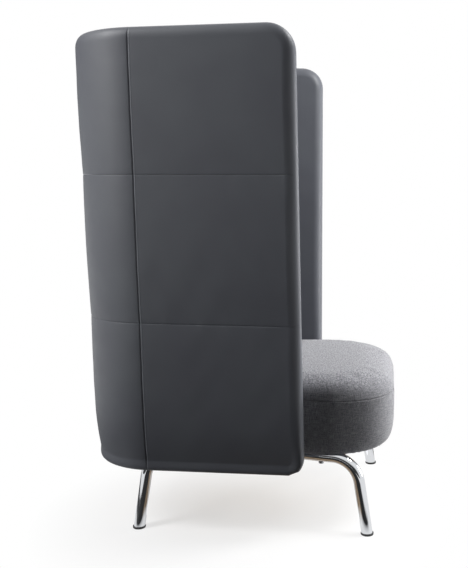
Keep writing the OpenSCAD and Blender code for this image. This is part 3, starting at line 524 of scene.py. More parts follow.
# Half of the back: an even grid from the seam round the corner to the middle plane, closer near
# the seam, with the rims' steps at its lower and upper ends.
def backPatches(low, high, rimLow, rimHigh):
    n, gap = shell["nose"], shell["gap"]/2
    zs = steps(low + (n if rimLow else gap), high - (n if rimHigh else gap), shell["step"],
        (0 if rimLow else 2*shell["dipWidth"], 0 if rimHigh else 2*shell["dipWidth"]))
    es = np.full_like(zs, 2*n)
    if rimLow:
        zs, es = np.concatenate([low + noseSteps()[:-1], zs]), np.concatenate([noseSteps()[:-1], es])
    if rimHigh:
        zs = np.concatenate([zs, high - noseSteps()[-2::-1]])
        es = np.concatenate([es, noseSteps()[-2::-1]])
    p = planAt(np.array([(low + high)/2]))
    whole = p["cornerLen"][0] - p["centreX"][0]
    runs = steps(gap, whole, shell["step"]*1.2, (2*shell["dipWidth"], 0))
    share = (runs - gap)/(whole - gap)
    z, w = np.meshgrid(zs, share, indexing="ij")
    q = planAt(z)
    return [(gap + w*(q["cornerLen"] - q["centreX"] - gap), z, es[:, None] + 0*z)]


# Both faces share one layout; walls join them wherever an edge is used by one cell only.
def panelMesh(patches, face, back, both=False):
    params, quads, start = [], [], 0
    for s, z, e in patches:
        params.append(np.stack([s, z, e], -1).reshape(-1, 3))
        quads.append(gridQuads(*s.shape) + start)
        start += s.size
    params, quads = np.concatenate(params), np.concatenate(quads)
    _, first, place = np.unique(np.round(params[:, :2], 3), axis=0, return_index=True, return_inverse=True)
    params, quads = params[first], place.ravel()[quads]
    s, z, e = params.T
    outer, inner = shellPoint(s, z, face(s, z, e)), shellPoint(s, z, back(s, z, e))
    if both:  # the other half, mirrored, shares the points on the middle plane
        count = len(outer)
        flip = np.array([-1, 1, 1])
        outer, inner = np.concatenate([outer, outer*flip]), np.concatenate([inner, inner*flip])
        quads = np.concatenate([quads, quads + count])
        _, first, place = np.unique(np.round(outer, 3) + 0.0, axis=0, return_index=True, return_inverse=True)
        outer, inner, quads = outer[first], inner[first], place.ravel()[quads]
    edges = np.sort(np.stack([quads, np.roll(quads, -1, 1)], -1).reshape(-1, 2), 1)
    unique, counts = np.unique(edges, axis=0, return_counts=True)
    rim = unique[(counts == 1) & (unique[:, 0] != unique[:, 1])]
    total = len(outer)
    walls = np.stack([rim[:, 0], rim[:, 1], rim[:, 1] + total, rim[:, 0] + total], -1)
    return np.concatenate([outer, inner]), np.concatenate([quads, quads + total, walls])


def mirrored(points, side):
    return points*np.array([-side, 1, 1])


tiers = ("bottom", "middle", "top")
for k, tier in enumerate(tiers):
    low, high = tierSpan(k)
    for side, word in ((-1, "right"), (1, "left")):
        seed = 10*k + side + 3
        points, quads = panelMesh(sidePatches(low, high, k == 0, k == 2),
            lambda s, z, e: coverFace(k, s, z, e, seed), lambda s, z, e: coverBack(s, e))
        makePiece(f"{word}_outer_pad_{tier}", mirrored(points, side), quads, "shell_cover",
            (f"{word}_cover_{tier}",), 0.9)
    seed = 40 + k
    points, quads = panelMesh(backPatches(low, high, k == 0, k == 2),
        lambda s, z, e: coverFace(k, s, z, e, seed), lambda s, z, e: coverBack(s, e), True)
    makePiece(f"back_outer_pad_{tier}", points, quads, "shell_cover", (f"back_cover_{tier}",), 0.9)
for side, word in ((-1, "right"), (1, "left")):
    points, quads = panelMesh(sidePatches(shell["bottom"], shell["top"], True, True),
        lambda s, z, e: liningFace(s, z, e, 70 + side), lambda s, z, e: liningBack(e))
    makePiece(f"{word}_inner_pad", mirrored(points, side), quads, "shell_cover", (f"{word}_lining",), 0.85)
points, quads = panelMesh(backPatches(shell["bottom"], shell["top"], True, True),
    lambda s, z, e: liningFace(s, z, e, 75), lambda s, z, e: liningBack(e), True)
makePiece("back_inner_pad", points, quads, "shell_cover", ("back_lining",), 0.85)
print("shell padded")


# seat and backrest

seat = {  # mm
    "front": 450, "top": 433, "seam": 370, "under": 224, "hem": 219, "cornerRadius": 165, "roundShare": 0.35,
    "gap": 1.4, "lowDraw": (24, 6, 6), "crownDraw": (150, 95, 40),
    "lowShares": ((0, 1), (0.06, 0.6), (0.18, 0.28), (0.36, 0.08), (0.62, 0), (0.9, 0), (0.985, 0), (1, 0.08)),
    "lip": 1.8, "lipIn": 7, "slit": 4, "hemGather": 0.9, "hemPitch": 15,
    "crownShares": ((0, 0.012), (0.03, 0), (0.2, 0), (0.42, 0.035), (0.64, 0.11), (0.8, 0.22),
        (0.91, 0.4), (0.97, 0.66), (0.995, 1)),
    "boardInset": (48, 14, 9), "pad": 34, "endPad": 0.7, "base": 18, "voxel": 6, "pressure": 4, "cap": 3,
    "levelFace": 0.75,
}


def roomHalf(y, z):  # half width inside the shell at depth position y
    p = planAt(z)
    return mix(p["halfFront"], p["halfSeam"], (y - p["frontY"])/(p["seamY"] - p["frontY"])) \
        - shell["wall"]/np.cos(p["turn"])


# Four corners, each rounded by an arc that touches both sides; rings run counterclockwise.
def roundedRings(frontHalf, front, rearHalf, rear, frontRadius, rearRadius, z, arc=16, line=16):
    corners = np.stack([np.stack([frontHalf, front], -1), np.stack([rearHalf, rear], -1),
        np.stack([-rearHalf, rear], -1), np.stack([-frontHalf, front], -1)], 1)
    radii = np.stack([frontRadius, rearRadius, rearRadius, frontRadius], 1)
    toLast, toNext = np.roll(corners, 1, 1) - corners, np.roll(corners, -1, 1) - corners
    toLast = toLast/np.linalg.norm(toLast, axis=-1, keepdims=True)
    toNext = toNext/np.linalg.norm(toNext, axis=-1, keepdims=True)
    angle = np.arccos((toLast*toNext).sum(-1))
    both = toLast + toNext
    centre = corners + both/np.linalg.norm(both, axis=-1, keepdims=True)*(radii/np.sin(angle/2))[..., None]
    start = corners + toLast*(radii/np.tan(angle/2))[..., None] - centre
    turn = (math.pi - angle)[..., None]*np.linspace(0, 1, arc + 1)
    sx, sy = start[..., 0:1], start[..., 1:2]
    arcs = np.stack([sx*np.cos(turn) - sy*np.sin(turn), sx*np.sin(turn) + sy*np.cos(turn)], -1)
    arcs = arcs + centre[:, :, None]
    following = np.roll(arcs[:, :, 0], -1, 1)
    t = (np.arange(1, line)/line)[None, None, :, None]
    lines = mix(arcs[:, :, -1:], following[:, :, None], t)
    ring = np.concatenate([arcs, lines], 2).reshape(len(frontHalf), -1, 2)
    height = np.broadcast_to(np.asarray(z, float)[:, None, None], ring.shape[:2] + (1,))
    return np.concatenate([ring, height], -1)


# The seat's plan fills the shell's inside at each height, or at planZ, less a gap and the inset,
# which is (front, side, rear) for each ring; its front corners tighten as the front draws in.
def seatRings(z, inset, arc=16, line=16, planZ=None):
    z = np.asarray(z, float)
    at = z if planZ is None else np.full_like(z, planZ)
    front = -seat["front"] + inset[:, 0]
    rear = planAt(at)["backY"] - shell["wall"] - seat["gap"] - inset[:, 2]
    return roundedRings(roomHalf(front, at) - seat["gap"] - inset[:, 1], front,
        roomHalf(rear, at) - seat["gap"] - inset[:, 1], rear,
        seat["cornerRadius"] - seat["roundShare"]*inset[:, 0],
        planAt(at)["radius"] - shell["wall"] - seat["gap"], z, arc, line)


def curveThrough(pairs, count):  # Catmull-Rom curve through the pairs, with count points for each span
    p = np.array(pairs, float)
    p = np.concatenate([2*p[:1] - p[1:2], p, 2*p[-1:] - p[-2:-1]])
    t = np.linspace(0, 1, count, endpoint=False)[None, :, None]
    a, b, c, d = p[:-3, None], p[1:-2, None], p[2:-1, None], p[3:, None]
    curve = 0.5*(2*b + (c - a)*t + (2*a - 5*b + 4*c - d)*t**2 + (3*b - a - 3*c + d)*t**3)
    return np.concatenate([curve.reshape(-1, 2), p[-2:-1]])


def capRings(ring, centre, count, dome=0.0):  # level rings that shrink to the centre, dome mm higher there
    t = np.linspace(0, 1, count + 1)[1:, None, None]
    rings = mix(ring[None], np.array(centre)[None, None], t)
    rings[..., 2] = ring[..., 2].mean() + dome*(1 - (1 - t[..., 0])**2)
    return rings


def clothUV(piece, ring):  # level faces take x and y, others the run round the ring and the height
    mesh = piece.data
    loops, count = len(mesh.loops), len(mesh.polygons)
    verts = np.zeros(len(mesh.vertices)*3)
    mesh.vertices.foreach_get("co", verts)
    verts = verts.reshape(-1, 3)
    corner = np.zeros(loops, int)
    mesh.loops.foreach_get("vertex_index", corner)
    sizes, normals = np.zeros(count, int), np.zeros(count*3)
    mesh.polygons.foreach_get("loop_total", sizes)
    mesh.polygons.foreach_get("normal", normals)
    face = np.repeat(np.arange(count), sizes)
    level = np.abs(normals.reshape(-1, 3)[:, 2])[face] > seat["levelFace"]
    middle = ring.mean(0)[:2]*mm
    outline = ring[:, :2]*mm - middle
    angles = np.arctan2(outline[:, 0], -outline[:, 1])
    order = np.argsort(angles)
    run = np.concatenate([[0], np.cumsum(np.linalg.norm(np.diff(outline[order], axis=0), axis=1))])
    away = verts[:, :2] - middle
    around = np.interp(np.arctan2(away[:, 0], -away[:, 1]), angles[order], run)[corner]
    lowest, highest = np.full(count, 1e9), np.full(count, -1e9)
    np.minimum.at(lowest, face, around)
    np.maximum.at(highest, face, around)
    split = ((highest - lowest)[face] > run[-1]/2) & (around < run[-1]/2)  # faces across the run's end
    around = np.where(split, around + run[-1], around)
    uv = np.where(level[:, None], verts[corner][:, :2], np.stack([around, verts[corner][:, 2]], -1))
    layer = mesh.uv_layers.new(name="cloth")
    layer.data.foreach_set("uv", uv.ravel())


filling = {"frames": 20, "stretch": 15, "bend": 3, "smooth": 0.5, "passes": 8}  # of both cushions' cloth


# Remeshes a piece, inflates it as cloth, caps how far a point may travel, then smooths what isn't held.
def pillow(piece, voxel, pressure, cap, held):
    bpy.context.view_layer.objects.active = piece
    remesh = piece.modifiers.new("remesh", "REMESH")
    remesh.mode = "VOXEL"
    remesh.voxel_size = voxel*mm
    bpy.ops.object.modifier_apply(modifier=remesh.name)
    mesh = piece.data
    start = np.zeros(len(mesh.vertices)*3)
    mesh.vertices.foreach_get("co", start)
    start = start.reshape(-1, 3)
    group = piece.vertex_groups.new(name="held")
    group.add(np.nonzero(held(start))[0].tolist(), 1.0, "REPLACE")
    cloth = piece.modifiers.new("cloth", "CLOTH")
    settings = cloth.settings
    settings.effector_weights.gravity = 0
    settings.use_pressure = True
    settings.uniform_pressure_force = pressure
    settings.vertex_group_mass = "held"
    settings.tension_stiffness = settings.compression_stiffness = filling["stretch"]
    settings.bending_stiffness = filling["bend"]
    cloth.point_cache.frame_end = filling["frames"]
    scene = bpy.context.scene
    for step in range(1, filling["frames"] + 1):
        scene.frame_set(step)
    evaluated = piece.evaluated_get(bpy.context.evaluated_depsgraph_get())
    moved = np.zeros(len(mesh.vertices)*3)
    evaluated.data.vertices.foreach_get("co", moved)
    piece.modifiers.remove(cloth)
    scene.frame_set(1)
    travel = moved.reshape(-1, 3) - start
    length = np.linalg.norm(travel, axis=1, keepdims=True)
    start = start + travel*np.minimum(1, cap*mm/np.maximum(length, 1e-9))
    mesh.vertices.foreach_set("co", start.ravel())
    mesh.update()
    for kind, settings in (("SMOOTH", {"factor": filling["smooth"], "iterations": filling["passes"],
            "vertex_group": "held", "invert_vertex_group": True}),
            ("SUBSURF", {"levels": 1, "render_levels": 1})):
        modifier = piece.modifiers.new(kind.lower(), kind)
        for key, value in settings.items():
            setattr(modifier, key, value)
        bpy.ops.object.modifier_apply(modifier=modifier.name)
    piece.vertex_groups.clear()


def closedRings(rings, name, slot, replaced=(), fill=None, **more):
    rows, cols = rings.shape[:2]
    return makePiece(name, rings.reshape(-1, 3), gridQuads(rows, cols, True), slot, replaced, fill, **more)


crown = curveThrough(seat["crownShares"], 4)
half = shell["gap"]/2
crownZ = mix(seat["seam"] + half, seat["top"], crown[:, 0])
topRings = seatRings(crownZ, crown[:, 1:2]*np.array([seat["crownDraw"]]), 20, 18)
cushionMiddle = (0, -seat["front"]/6)
topCap = capRings(topRings[-1], (*cushionMiddle, topRings[-1][0, 2]), 16, 3)
underCap = capRings(topRings[0], (*cushionMiddle, topRings[0][0, 2]), 16)[::-1]
cushion = closedRings(np.concatenate([underCap, topRings, topCap]), "seat_cushion_pad", "seat_fabric",
    finish=False)
pillow(cushion, seat["voxel"], seat["pressure"], seat["cap"], lambda p: p[:, 2] < (seat["seam"] + 5)*mm)
clothUV(cushion, topRings[0])
finishPiece(cushion, "seat_fabric", ("seat_top_cushion",), 80)
print("seat cushion filled:", len(cushion.data.polygons))

low = curveThrough(seat["lowShares"], 4)
lowZ = mix(seat["hem"], seat["seam"] + seat["lip"], low[:, 0])
outside = seatRings(lowZ, low[:, 1:2]*np.array([seat["lowDraw"]]), 30, 40)
around = np.concatenate([[0], np.cumsum(np.linalg.norm(np.diff(outside[-1], axis=0), axis=1))])
hemWave = np.sin(around*math.tau/seat["hemPitch"]) + np.sin(around*math.tau/seat["hemPitch"]/0.37 + 1)
outside[:, :, 2] -= seat["hemGather"]*hemWave*np.clip(1 - low[:, :1]/0.12, 0, 1)**2/2
boardInset = np.array(seat["boardInset"]) - shell["gap"]
boxInset = boardInset + seat["pad"]*np.array([seat["endPad"], 1, seat["endPad"]])
baseTop = seat["under"] + seat["base"]
tucked = np.full(3, float(seat["lipIn"]))
inside = [seatRings([z], inset[None], 30, 40, planZ) for z, inset, planZ in (
    (seat["seam"] - seat["slit"], tucked/2, seat["seam"]), (seat["seam"] - half, tucked, seat["seam"]),
    (seat["seam"] - half, boxInset, baseTop), (baseTop + shell["gap"], boxInset, baseTop),
    (baseTop + shell["gap"], boardInset, seat["under"]), (seat["hem"], boardInset, seat["under"]))]
bandRings = np.concatenate([outside, *inside, outside[:1]])
band = closedRings(bandRings, "seat_border_pad", "seat_fabric", finish=False)
clothUV(band, outside[len(outside)//2])
finishPiece(band, "seat_fabric", ("seat_side_band",), 50)
print("seat border made")

# The foam fills the space between the webbing and the cushion. Its edges are quarter circles, and
# its sides stand bulge further out at half height.
slab = {"edge": 7, "bulge": 1.5, "room": 0.3, "sideSteps": 7}  # mm
slabLow, slabHigh = (corner.z/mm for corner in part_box("seat_foam"))
quarter = np.linspace(0, math.pi/2, slab["sideSteps"])
edgeRise, edgeDraw = slab["edge"]*(1 - np.cos(quarter)), slab["edge"]*(1 - np.sin(quarter))
slabSide = np.linspace(slabLow + slab["edge"] + 4, slabHigh - slab["edge"] - 4, slab["sideSteps"])
slabZ = np.concatenate([slabLow + edgeRise, slabSide, slabHigh - edgeRise[::-1]])
slabDraw = np.concatenate([edgeDraw, 0*slabSide, edgeDraw[::-1]]) + slab["room"]
slabDraw = slabDraw + slab["bulge"]*(1 - np.sin(math.pi*(slabZ - slabLow)/(slabHigh - slabLow)))
slabRings = seatRings(slabZ, boxInset + slabDraw[:, None], 24, 24, baseTop)
topCap = capRings(slabRings[-1], (*cushionMiddle, slabHigh), 12)
underCap = capRings(slabRings[0], (*cushionMiddle, slabLow), 12)[::-1]
closedRings(np.concatenate([underCap, slabRings, topCap]), "seat_foam_slab", "foam", ("seat_foam",), 0.95)
print("foam slab cut")

rest = {  # mm
    "top": 940, "low": seat["top"] + seat["gap"], "frontLow": 112, "frontTop": 202, "swell": 20, "board": 12,
    "draw": (62, 30, 16), "cornerRadius": 42, "voxel": 6, "pressure": 4, "cap": 9,
    "shares": ((0, 0.22), (0.015, 0.1), (0.06, 0.02), (0.2, 0), (0.35, 0), (0.5, 0), (0.65, 0), (0.78, 0.02),
        (0.87, 0.1), (0.93, 0.25), (0.965, 0.45), (0.99, 0.75), (1, 1)),
}


# The backrest's front leans from frontLow to frontTop and swells as a parabola, its rear follows the
# shell, and k draws a ring in from all sides, most at the front.
def restRings(z, t, k, arc, line):
    front = mix(rest["frontLow"], rest["frontTop"], t) - rest["swell"]*4*t*(1 - t) + k*rest["draw"][0]
    rear = planAt(z)["backY"] - shell["wall"] - rest["board"] - 2*shell["gap"] - k*rest["draw"][2]
    room = planAt(z)["radius"] - shell["wall"]
    frontRadius = rest["cornerRadius"]*(1 - k/2)
    rearRadius = np.minimum(room, rear - front - frontRadius - 1)
    side = k*rest["draw"][1] + (math.sqrt(2) - 1)*(room - rearRadius) + seat["gap"]
    return roundedRings(roomHalf(front, z) - side, front, roomHalf(rear, z) - side, rear,
        frontRadius, rearRadius, z, arc, line)


restCurve = curveThrough(rest["shares"], 4)
t, k = np.clip(restCurve[:, 0], 0, 1), np.clip(restCurve[:, 1], 0, 1)
restZ = mix(rest["low"], rest["top"], t)
pillowRings = restRings(restZ, t, k, 14, 16)
restCentre = [0, (rest["frontTop"] + shell["back"][1] - shell["wall"])/2]
topCap = capRings(pillowRings[-1], (*restCentre, restZ[-1]), 10, 3)
underCap = capRings(pillowRings[0], (*restCentre, restZ[0]), 10)[::-1]
backrest = closedRings(np.concatenate([underCap, pillowRings, topCap]), "backrest_pad", "seat_fabric",
    finish=False)
restHeld = rest["low"] + 4, shell["wall"] + rest["board"] + 4
pillow(backrest, rest["voxel"], rest["pressure"], rest["cap"],
    lambda p: (p[:, 2] < restHeld[0]*mm) | (p[:, 1] > (planAt(p[:, 2]/mm)["backY"] - restHeld[1])*mm))
clothUV(backrest, pillowRings[len(pillowRings)//2])
finishPiece(backrest, "seat_fabric", ("backrest_cushion",), 80)
print("backrest filled:", len(backrest.data.polygons))


# legs

leg = {  # mm and degrees
    "tube": 32, "wall": 2, "footHalf": 279, "frontFoot": 374.5, "rearFoot": 266.5, "runHeight": 205,
    "lean": 9, "turn": 14, "bendFromFoot": 195.5, "legRadius": 75, "planRadius": 160,
    "rearShares": (0.42, 0.78),
    "glide": 36, "glideHeight": 6, "plug": 24, "sides": 48,
}


# Corners of the tube's line: foot, leg corner and plan corner of one end. The leg leans outwards
# along the turned run by lean, and rolls so that the foot comes to its place.
def legCorners(turnDeg, leanDeg, runHalf, footY, way):
    turn, lean = math.radians(turnDeg), math.radians(leanDeg)
    spread = leg["footHalf"] - runHalf - leg["bendFromFoot"]*math.tan(turn)
    roll = math.atan(spread*math.cos(turn)/leg["runHeight"])
    reach = (leg["bendFromFoot"] + leg["runHeight"]*math.tan(roll)*math.sin(turn))/math.cos(turn) \
        - leg["runHeight"]*math.tan(lean)
    planCorner = np.array([-runHalf, way*(footY - leg["bendFromFoot"]), leg["runHeight"]])
    heading = np.array([-math.sin(turn), way*math.cos(turn), 0])
    return [planCorner, planCorner + heading*reach, np.array([-leg["footHalf"], way*footY, 0.0])]


def bentLine(corners, radii, step=math.radians(3)):  # straights joined by arcs that touch them
    points = [corners[0]]
    for before, corner, after, radius in zip(corners[:-2], corners[1:-1], corners[2:], radii):
        u, w = ((end - corner)/np.linalg.norm(end - corner) for end in (before, after))
        angle = math.acos(float(u @ w))
        centre = corner + (u + w)/np.linalg.norm(u + w)*radius/math.sin(angle/2)
        first = corner + u*radius/math.tan(angle/2) - centre
        second = -u  # the way along the line at the arc's start
        t = np.linspace(0, math.pi - angle, max(4, int((math.pi - angle)/step)))[:, None]
        points.append(centre + first*np.cos(t) + second*radius*np.sin(t))
    points.append(corners[-1])
    return np.vstack(points)


def tubeRings(line, radius, sides):  # circles square to the line, carried along it without twist
    tangent = np.gradient(line, axis=0)
    tangent /= np.linalg.norm(tangent, axis=1, keepdims=True)
    across = np.cross(tangent, np.array([1.0, 0, 0]))  # the line stays near a plane of constant x
    across /= np.linalg.norm(across, axis=1, keepdims=True)
    other = np.cross(tangent, across)
    a = np.linspace(0, math.tau, sides, endpoint=False)[None, :, None]
    return line[:, None] + radius*(np.cos(a)*across[:, None] + np.sin(a)*other[:, None])


def cutLevel(rings, ends, height):  # slides the end rings along the tube until they lie level
    for i, j in ends:
        way = rings[i].mean(0) - rings[j].mean(0)
        rings[i] = rings[i] + way*((height - rings[i][:, 2])/way[2])[:, None]
    return rings


runHalf = leg["footHalf"] - leg["bendFromFoot"]*math.tan(math.radians(leg["turn"]))
frontEnd = legCorners(leg["turn"], leg["lean"], runHalf, leg["frontFoot"], -1)
rearTurn, rearLean = leg["turn"]*leg["rearShares"][0], leg["lean"]*leg["rearShares"][1]
rearEnd = legCorners(rearTurn, rearLean, runHalf, leg["rearFoot"], 1)
corners = [rearEnd[2], rearEnd[1], rearEnd[0], frontEnd[0], frontEnd[1], frontEnd[2]]
centreLine = bentLine(corners, [leg["legRadius"], leg["planRadius"], leg["planRadius"], leg["legRadius"]])
tubeEnds = [(0, 1), (-1, -2)]
outer, inner = (cutLevel(tubeRings(centreLine, radius, leg["sides"]), tubeEnds, leg["glideHeight"])
    for radius in (leg["tube"]/2, leg["tube"]/2 - leg["wall"]))
tube = np.concatenate([outer, inner[::-1], outer[:1]])
for side, word in ((-1, "right"), (1, "left")):
    closedRings(mirrored(tube, side), f"{word}_leg_bent_tube", "chromed_steel", (f"{word}_leg_tube",), sharp=35)
print("legs bent")


# A profile of (radius, height) pairs turned about the upright axis through a point.
def turned(profile, place, sides=48):
    profile = np.array(profile, float)
    a = np.linspace(0, math.tau, sides, endpoint=False)[None, :]
    x, y = profile[:, :1]*np.cos(a), profile[:, :1]*np.sin(a)
    return np.stack([x + place[0], y + place[1], profile[:, 1:] + place[2] + 0*a], -1)


glideRadius, glideTop, edge = leg["glide"]/2, leg["glideHeight"], 1.6
arc = np.linspace(0, math.pi/2, 7)
lowArc = np.stack([glideRadius - edge + edge*np.sin(arc), edge - edge*np.cos(arc)], -1)
highArc = np.stack([glideRadius - edge + edge*np.cos(arc), glideTop - edge + edge*np.sin(arc)], -1)
insideRadius = leg["tube"]/2 - leg["wall"]
glideProfile = np.concatenate([[[0, 0]], lowArc, highArc, [[insideRadius - 0.2, glideTop], [0, glideTop]]])
for end, endWord, y in ((frontEnd, "front", -leg["frontFoot"]), (rearEnd, "rear", leg["rearFoot"])):
    way = (end[1] - end[2])/np.linalg.norm(end[1] - end[2])
    plugLine = end[2] + way*np.array([[glideTop/2], [leg["plug"]/2], [leg["plug"]]])/way[2]
    plug = tubeRings(plugLine, insideRadius - 0.1, leg["sides"])
    plug = np.concatenate([capRings(plug[end], plug[end].mean(0), 1) if end is not None else plug
        for end in (0, None, -1)])
    disc = turned(glideProfile, (-leg["footHalf"], y, 0))
    for side, word in ((-1, "right"), (1, "left")):
        rings = [mirrored(part, side) for part in (disc, plug)]
        quads = [gridQuads(*part.shape[:2], True) for part in rings]
        points = np.concatenate([part.reshape(-1, 3) for part in rings])
        quads = np.concatenate([quads[0], quads[1] + disc.shape[0]*disc.shape[1]])
        makePiece(f"{endWord}_{word}_foot_glide", points, quads, "black_plastic", (f"{endWord}_{word}_glide",),
            sharp=35)
print("glides turned")


# frame nodes that stay as they are

for entry in frame["record"]["subparts"]:
    node = frame["nodes"][entry["node"]]
    node.data.materials.clear()
    node.data.materials.append(finishes[entry["material_slot"]])
print("frame nodes finished")


# room, light and camera

room = {  # metres; a pair is where a range starts and where it is full
    "floor": "#b2b2b2", "seenFloor": "#a6a6a6", "size": 60, "shadowPlace": (-0.15, 0, 0), "white": (0.1, 0.6),
    "lift": 0.53,
    # Painted reflection and shade: near black floor beside and behind the chair, which only reflections and
    # bounced light see
    "cloth": "#0b0b0c", "floorDarkReflectionSide": (0.30, 0.40), "floorDarkReflectionBehind": (0.4, 0.6),
    "floorDarkReflectionFront": (-0.8, -0.5), "floorDarkReflectionRear": (1.4, 1.0),
    # Painted reflection: tan floor under the chair that only reflections see
    "floorTanReflection": "#8f7d68", "floorTanReflectionSide": (0.5, 0.4), "floorTanReflectionFront": (-0.3, -0.2), "floorTanReflectionRear": (0.18, 0.08),
    # Painted reflection: dark walls left and right of the chair that only reflections see
    "wallDarkReflectionSide": (0.4, 0.7), "wallDarkReflectionRear": 0.35, "wallDarkReflectionTop": (0.6, 0.35), "wallDarkReflection": 0.05,
}
yes, no = (0, 1), (1, 0)  # ranges that keep or turn round a yes or no value


def mask(tree, operation, *ranges):  # each value becomes 0 to 1 over its range, and all are joined
    parts = [addNode(tree, "MapRange", {"Value": value, "From Min": start, "From Max": full})
        for value, (start, full) in ranges]
    for part in parts[1:]:
        parts[0] = addNode(tree, "Math", {0: parts[0], 1: part}, operation=operation)
    return parts[0]


# The floor is grey paint, lifted by white for the camera and pure white further out, so that it
# keeps a soft shadow and has no horizon. Beside and behind the chair it is painted near black for
# every ray but the camera's, and under it painted tan for reflections only: painted reflections
# that polished steel shows as dark and tan streaks, while the camera sees pale floor there. The
# near black also darkens the light that the floor bounces up.
floorPaint, tree, shader = newMaterial("studio_floor_painted", {"Roughness": 0.9, "Specular IOR Level": 0.2})
rays = addNode(tree, "LightPath").node.outputs
coords = addNode(tree, "TexCoord", out="Object")
place = addNode(tree, "SeparateXYZ", {"Vector": coords}).node.outputs
sideways = addNode(tree, "Math", {0: place["X"]}, operation="ABSOLUTE")
# Painted reflection and shade: beside and behind the chair the floor turns near black for all but camera rays
around = mask(tree, "MAXIMUM", (sideways, room["floorDarkReflectionSide"]), (place["Y"], room["floorDarkReflectionBehind"]))
cloth = mask(tree, "MULTIPLY", (around, yes), (place["Y"], room["floorDarkReflectionFront"]), (place["Y"], room["floorDarkReflectionRear"]),
    (rays["Is Camera Ray"], no))
# Painted reflection: under the chair the floor turns tan for glossy rays only
floorTanReflection = mask(tree, "MULTIPLY", (sideways, room["floorTanReflectionSide"]), (place["Y"], room["floorTanReflectionFront"]),
    (place["Y"], room["floorTanReflectionRear"]), (rays["Is Glossy Ray"], yes))
paint = linear(room["floor"])
for share, word in ((cloth, "cloth"), (floorTanReflection, "floorTanReflection"), (rays["Is Camera Ray"], "seenFloor")):
    paint = addNode(tree, "Mix", {"Factor": share, 6: paint, 7: linear(room[word])}, 2, data_type="RGBA")
link(tree, shader, {"Base Color": paint})
reflected = mask(tree, "MAXIMUM", (rays["Is Glossy Ray"], yes), (rays["Is Transmission Ray"], yes))
reflected = mask(tree, "MULTIPLY", (reflected, yes), (mask(tree, "MAXIMUM", (cloth, yes), (floorTanReflection, yes)), no))
shown = mask(tree, "MAXIMUM", (rays["Is Camera Ray"], yes), (reflected, yes))
away = addNode(tree, "VectorMath", {0: coords, 1: room["shadowPlace"]}, "Value", operation="DISTANCE")
lift = addNode(tree, "Emission", {"Color": linear("#ffffff"),
    "Strength": addNode(tree, "Math", {0: shown, 1: room["lift"]}, operation="MULTIPLY")})
near = addNode(tree, "AddShader", {0: shader.outputs["BSDF"], 1: lift})
white = addNode(tree, "Emission", {"Color": linear("#ffffff"), "Strength": 1})
surface = addNode(tree, "MixShader",
    {0: mask(tree, "MULTIPLY", (shown, yes), (away, room["white"])), 1: near, 2: white})
tree.links.new(surface, tree.nodes["Material Output"].inputs["Surface"])

floorMesh = bpy.data.meshes.new("floor")
reach = room["size"]/2
corners = [(x*reach, y*reach, 0) for x, y in ((-1, -1), (1, -1), (1, 1), (-1, 1))]
floorMesh.from_pydata(corners, [], [(0, 1, 2, 3)])
floorMesh.materials.append(floorPaint)
floor = bpy.data.objects.new("floor", floorMesh)
bpy.context.scene.collection.objects.link(floor)
floor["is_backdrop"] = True

lamps = {  # place, aim, width and height in metres, watts, and whether polished steel shows it
    "over_soft_box": ((0, -1.6, 2.6), (0, -0.4, 0.4), (0.8, 0.8), 53, True),
    "front_soft_box": ((2.0, -3.1, 1.5), (0, -0.2, 0.4), (1.2, 2.0), 85, False),
    "front_low_box": ((0.8, -2.6, 0.8), (0, -0.3, 0.4), (0.9, 1.0), 30, True),
    "far_side_box": ((2.6, -1.2, 1.2), (0, -0.3, 0.4), (1.2, 1.2), 45, False),
    "rear_high_box": ((-1.3, 2.6, 3.4), (-0.3, 0.2, 1.0), (0.9, 1.4), 80, True),
    "rear_wide_box": ((-1.7, 3.4, 2.4), (-0.3, 0.2, 0.9), (1.6, 2.0), 36, True),
    "rear_low_box": ((-1.6, 2.2, 1.3), (-0.3, 0.2, 0.8), (0.9, 1.6), 15, True),
    "floor_card": ((0, -0.05, 0.02), (0, -0.05, 1), (0.5, 0.6), 0.4, True),
}
for name, (place, aim, size, watts, inSteel) in lamps.items():
    data = bpy.data.lights.new(name, "AREA")
    data.shape, data.size, data.size_y, data.energy = "RECTANGLE", *size, watts
    lamp = bpy.data.objects.new(name, data)
    lamp.location = place
    lamp.rotation_euler = (Vector(aim) - Vector(place)).to_track_quat("-Z", "Y").to_euler()
    lamp.visible_camera, lamp.visible_glossy = False, inSteel
    bpy.context.scene.collection.objects.link(lamp)

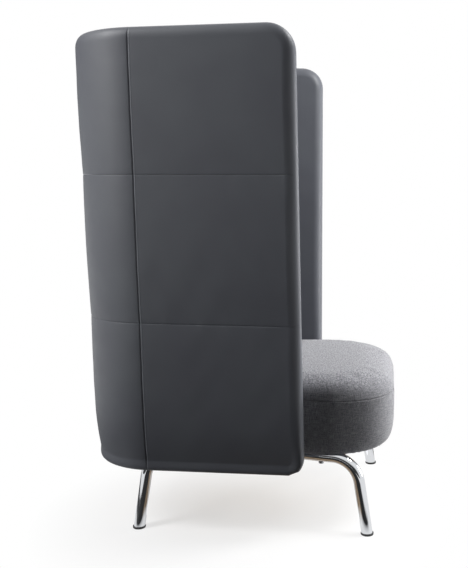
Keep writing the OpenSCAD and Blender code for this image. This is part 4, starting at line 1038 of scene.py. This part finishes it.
# The room is white. To the left and right of the chair, up to head height, a dark band is
# painted into reflections only, so polished steel shows dark streaks; the camera sees white everywhere. Only the
# lamps light.
world = bpy.data.worlds.new("studio")
bpy.context.scene.world = world
world.use_nodes = True
sky = world.node_tree
sky.nodes.clear()
rays = addNode(sky, "LightPath").node.outputs
heading = addNode(sky, "SeparateXYZ", {"Vector": addNode(sky, "TexCoord", out="Generated")}).node.outputs
# Painted reflection: dark to the left and right of the chair, up to head height, for glossy rays only
aside = addNode(sky, "Math", {0: heading["Y"], 1: room["wallDarkReflectionRear"],
    2: addNode(sky, "Math", {0: heading["X"]}, operation="ABSOLUTE")}, operation="MULTIPLY_ADD")
wallDarkReflection = mask(sky, "MULTIPLY", (aside, room["wallDarkReflectionSide"]), (heading["Z"], room["wallDarkReflectionTop"]))
walls = addNode(sky, "MapRange", {"Value": wallDarkReflection, "To Min": 1, "To Max": room["wallDarkReflection"]})
walls = mask(sky, "MULTIPLY", (walls, yes), (rays["Is Glossy Ray"], yes))
seen = mask(sky, "MAXIMUM", (walls, yes), (rays["Is Camera Ray"], yes), (rays["Is Transmission Ray"], yes))
light = addNode(sky, "Background", {"Color": linear("#ffffff"), "Strength": seen})
addNode(sky, "OutputWorld", {"Surface": light})

photo = {  # metres and degrees, found from the photograph's perspective; lens in mm
    "place": (-2.499, -0.421, 0.994), "yaw": 4.01, "pitch": 2.138, "lens": 51.681, "shift": (-0.165, -0.14),
}
camera = bpy.data.objects.new("camera", bpy.data.cameras.new("camera"))
camera.data.lens = photo["lens"]
camera.data.shift_x, camera.data.shift_y = photo["shift"]
yaw, pitch = math.radians(photo["yaw"]), math.radians(photo["pitch"])
ahead = Vector((math.cos(yaw)*math.cos(pitch), math.sin(yaw)*math.cos(pitch), -math.sin(pitch)))
camera.location = photo["place"]
camera.rotation_euler = ahead.to_track_quat("-Z", "Y").to_euler()
bpy.context.scene.collection.objects.link(camera)
bpy.context.scene.camera = camera
bpy.context.scene.view_settings.view_transform = "Standard"

low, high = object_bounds()
print("visual box:", [round(v, 3) for v in (*low, *high)])
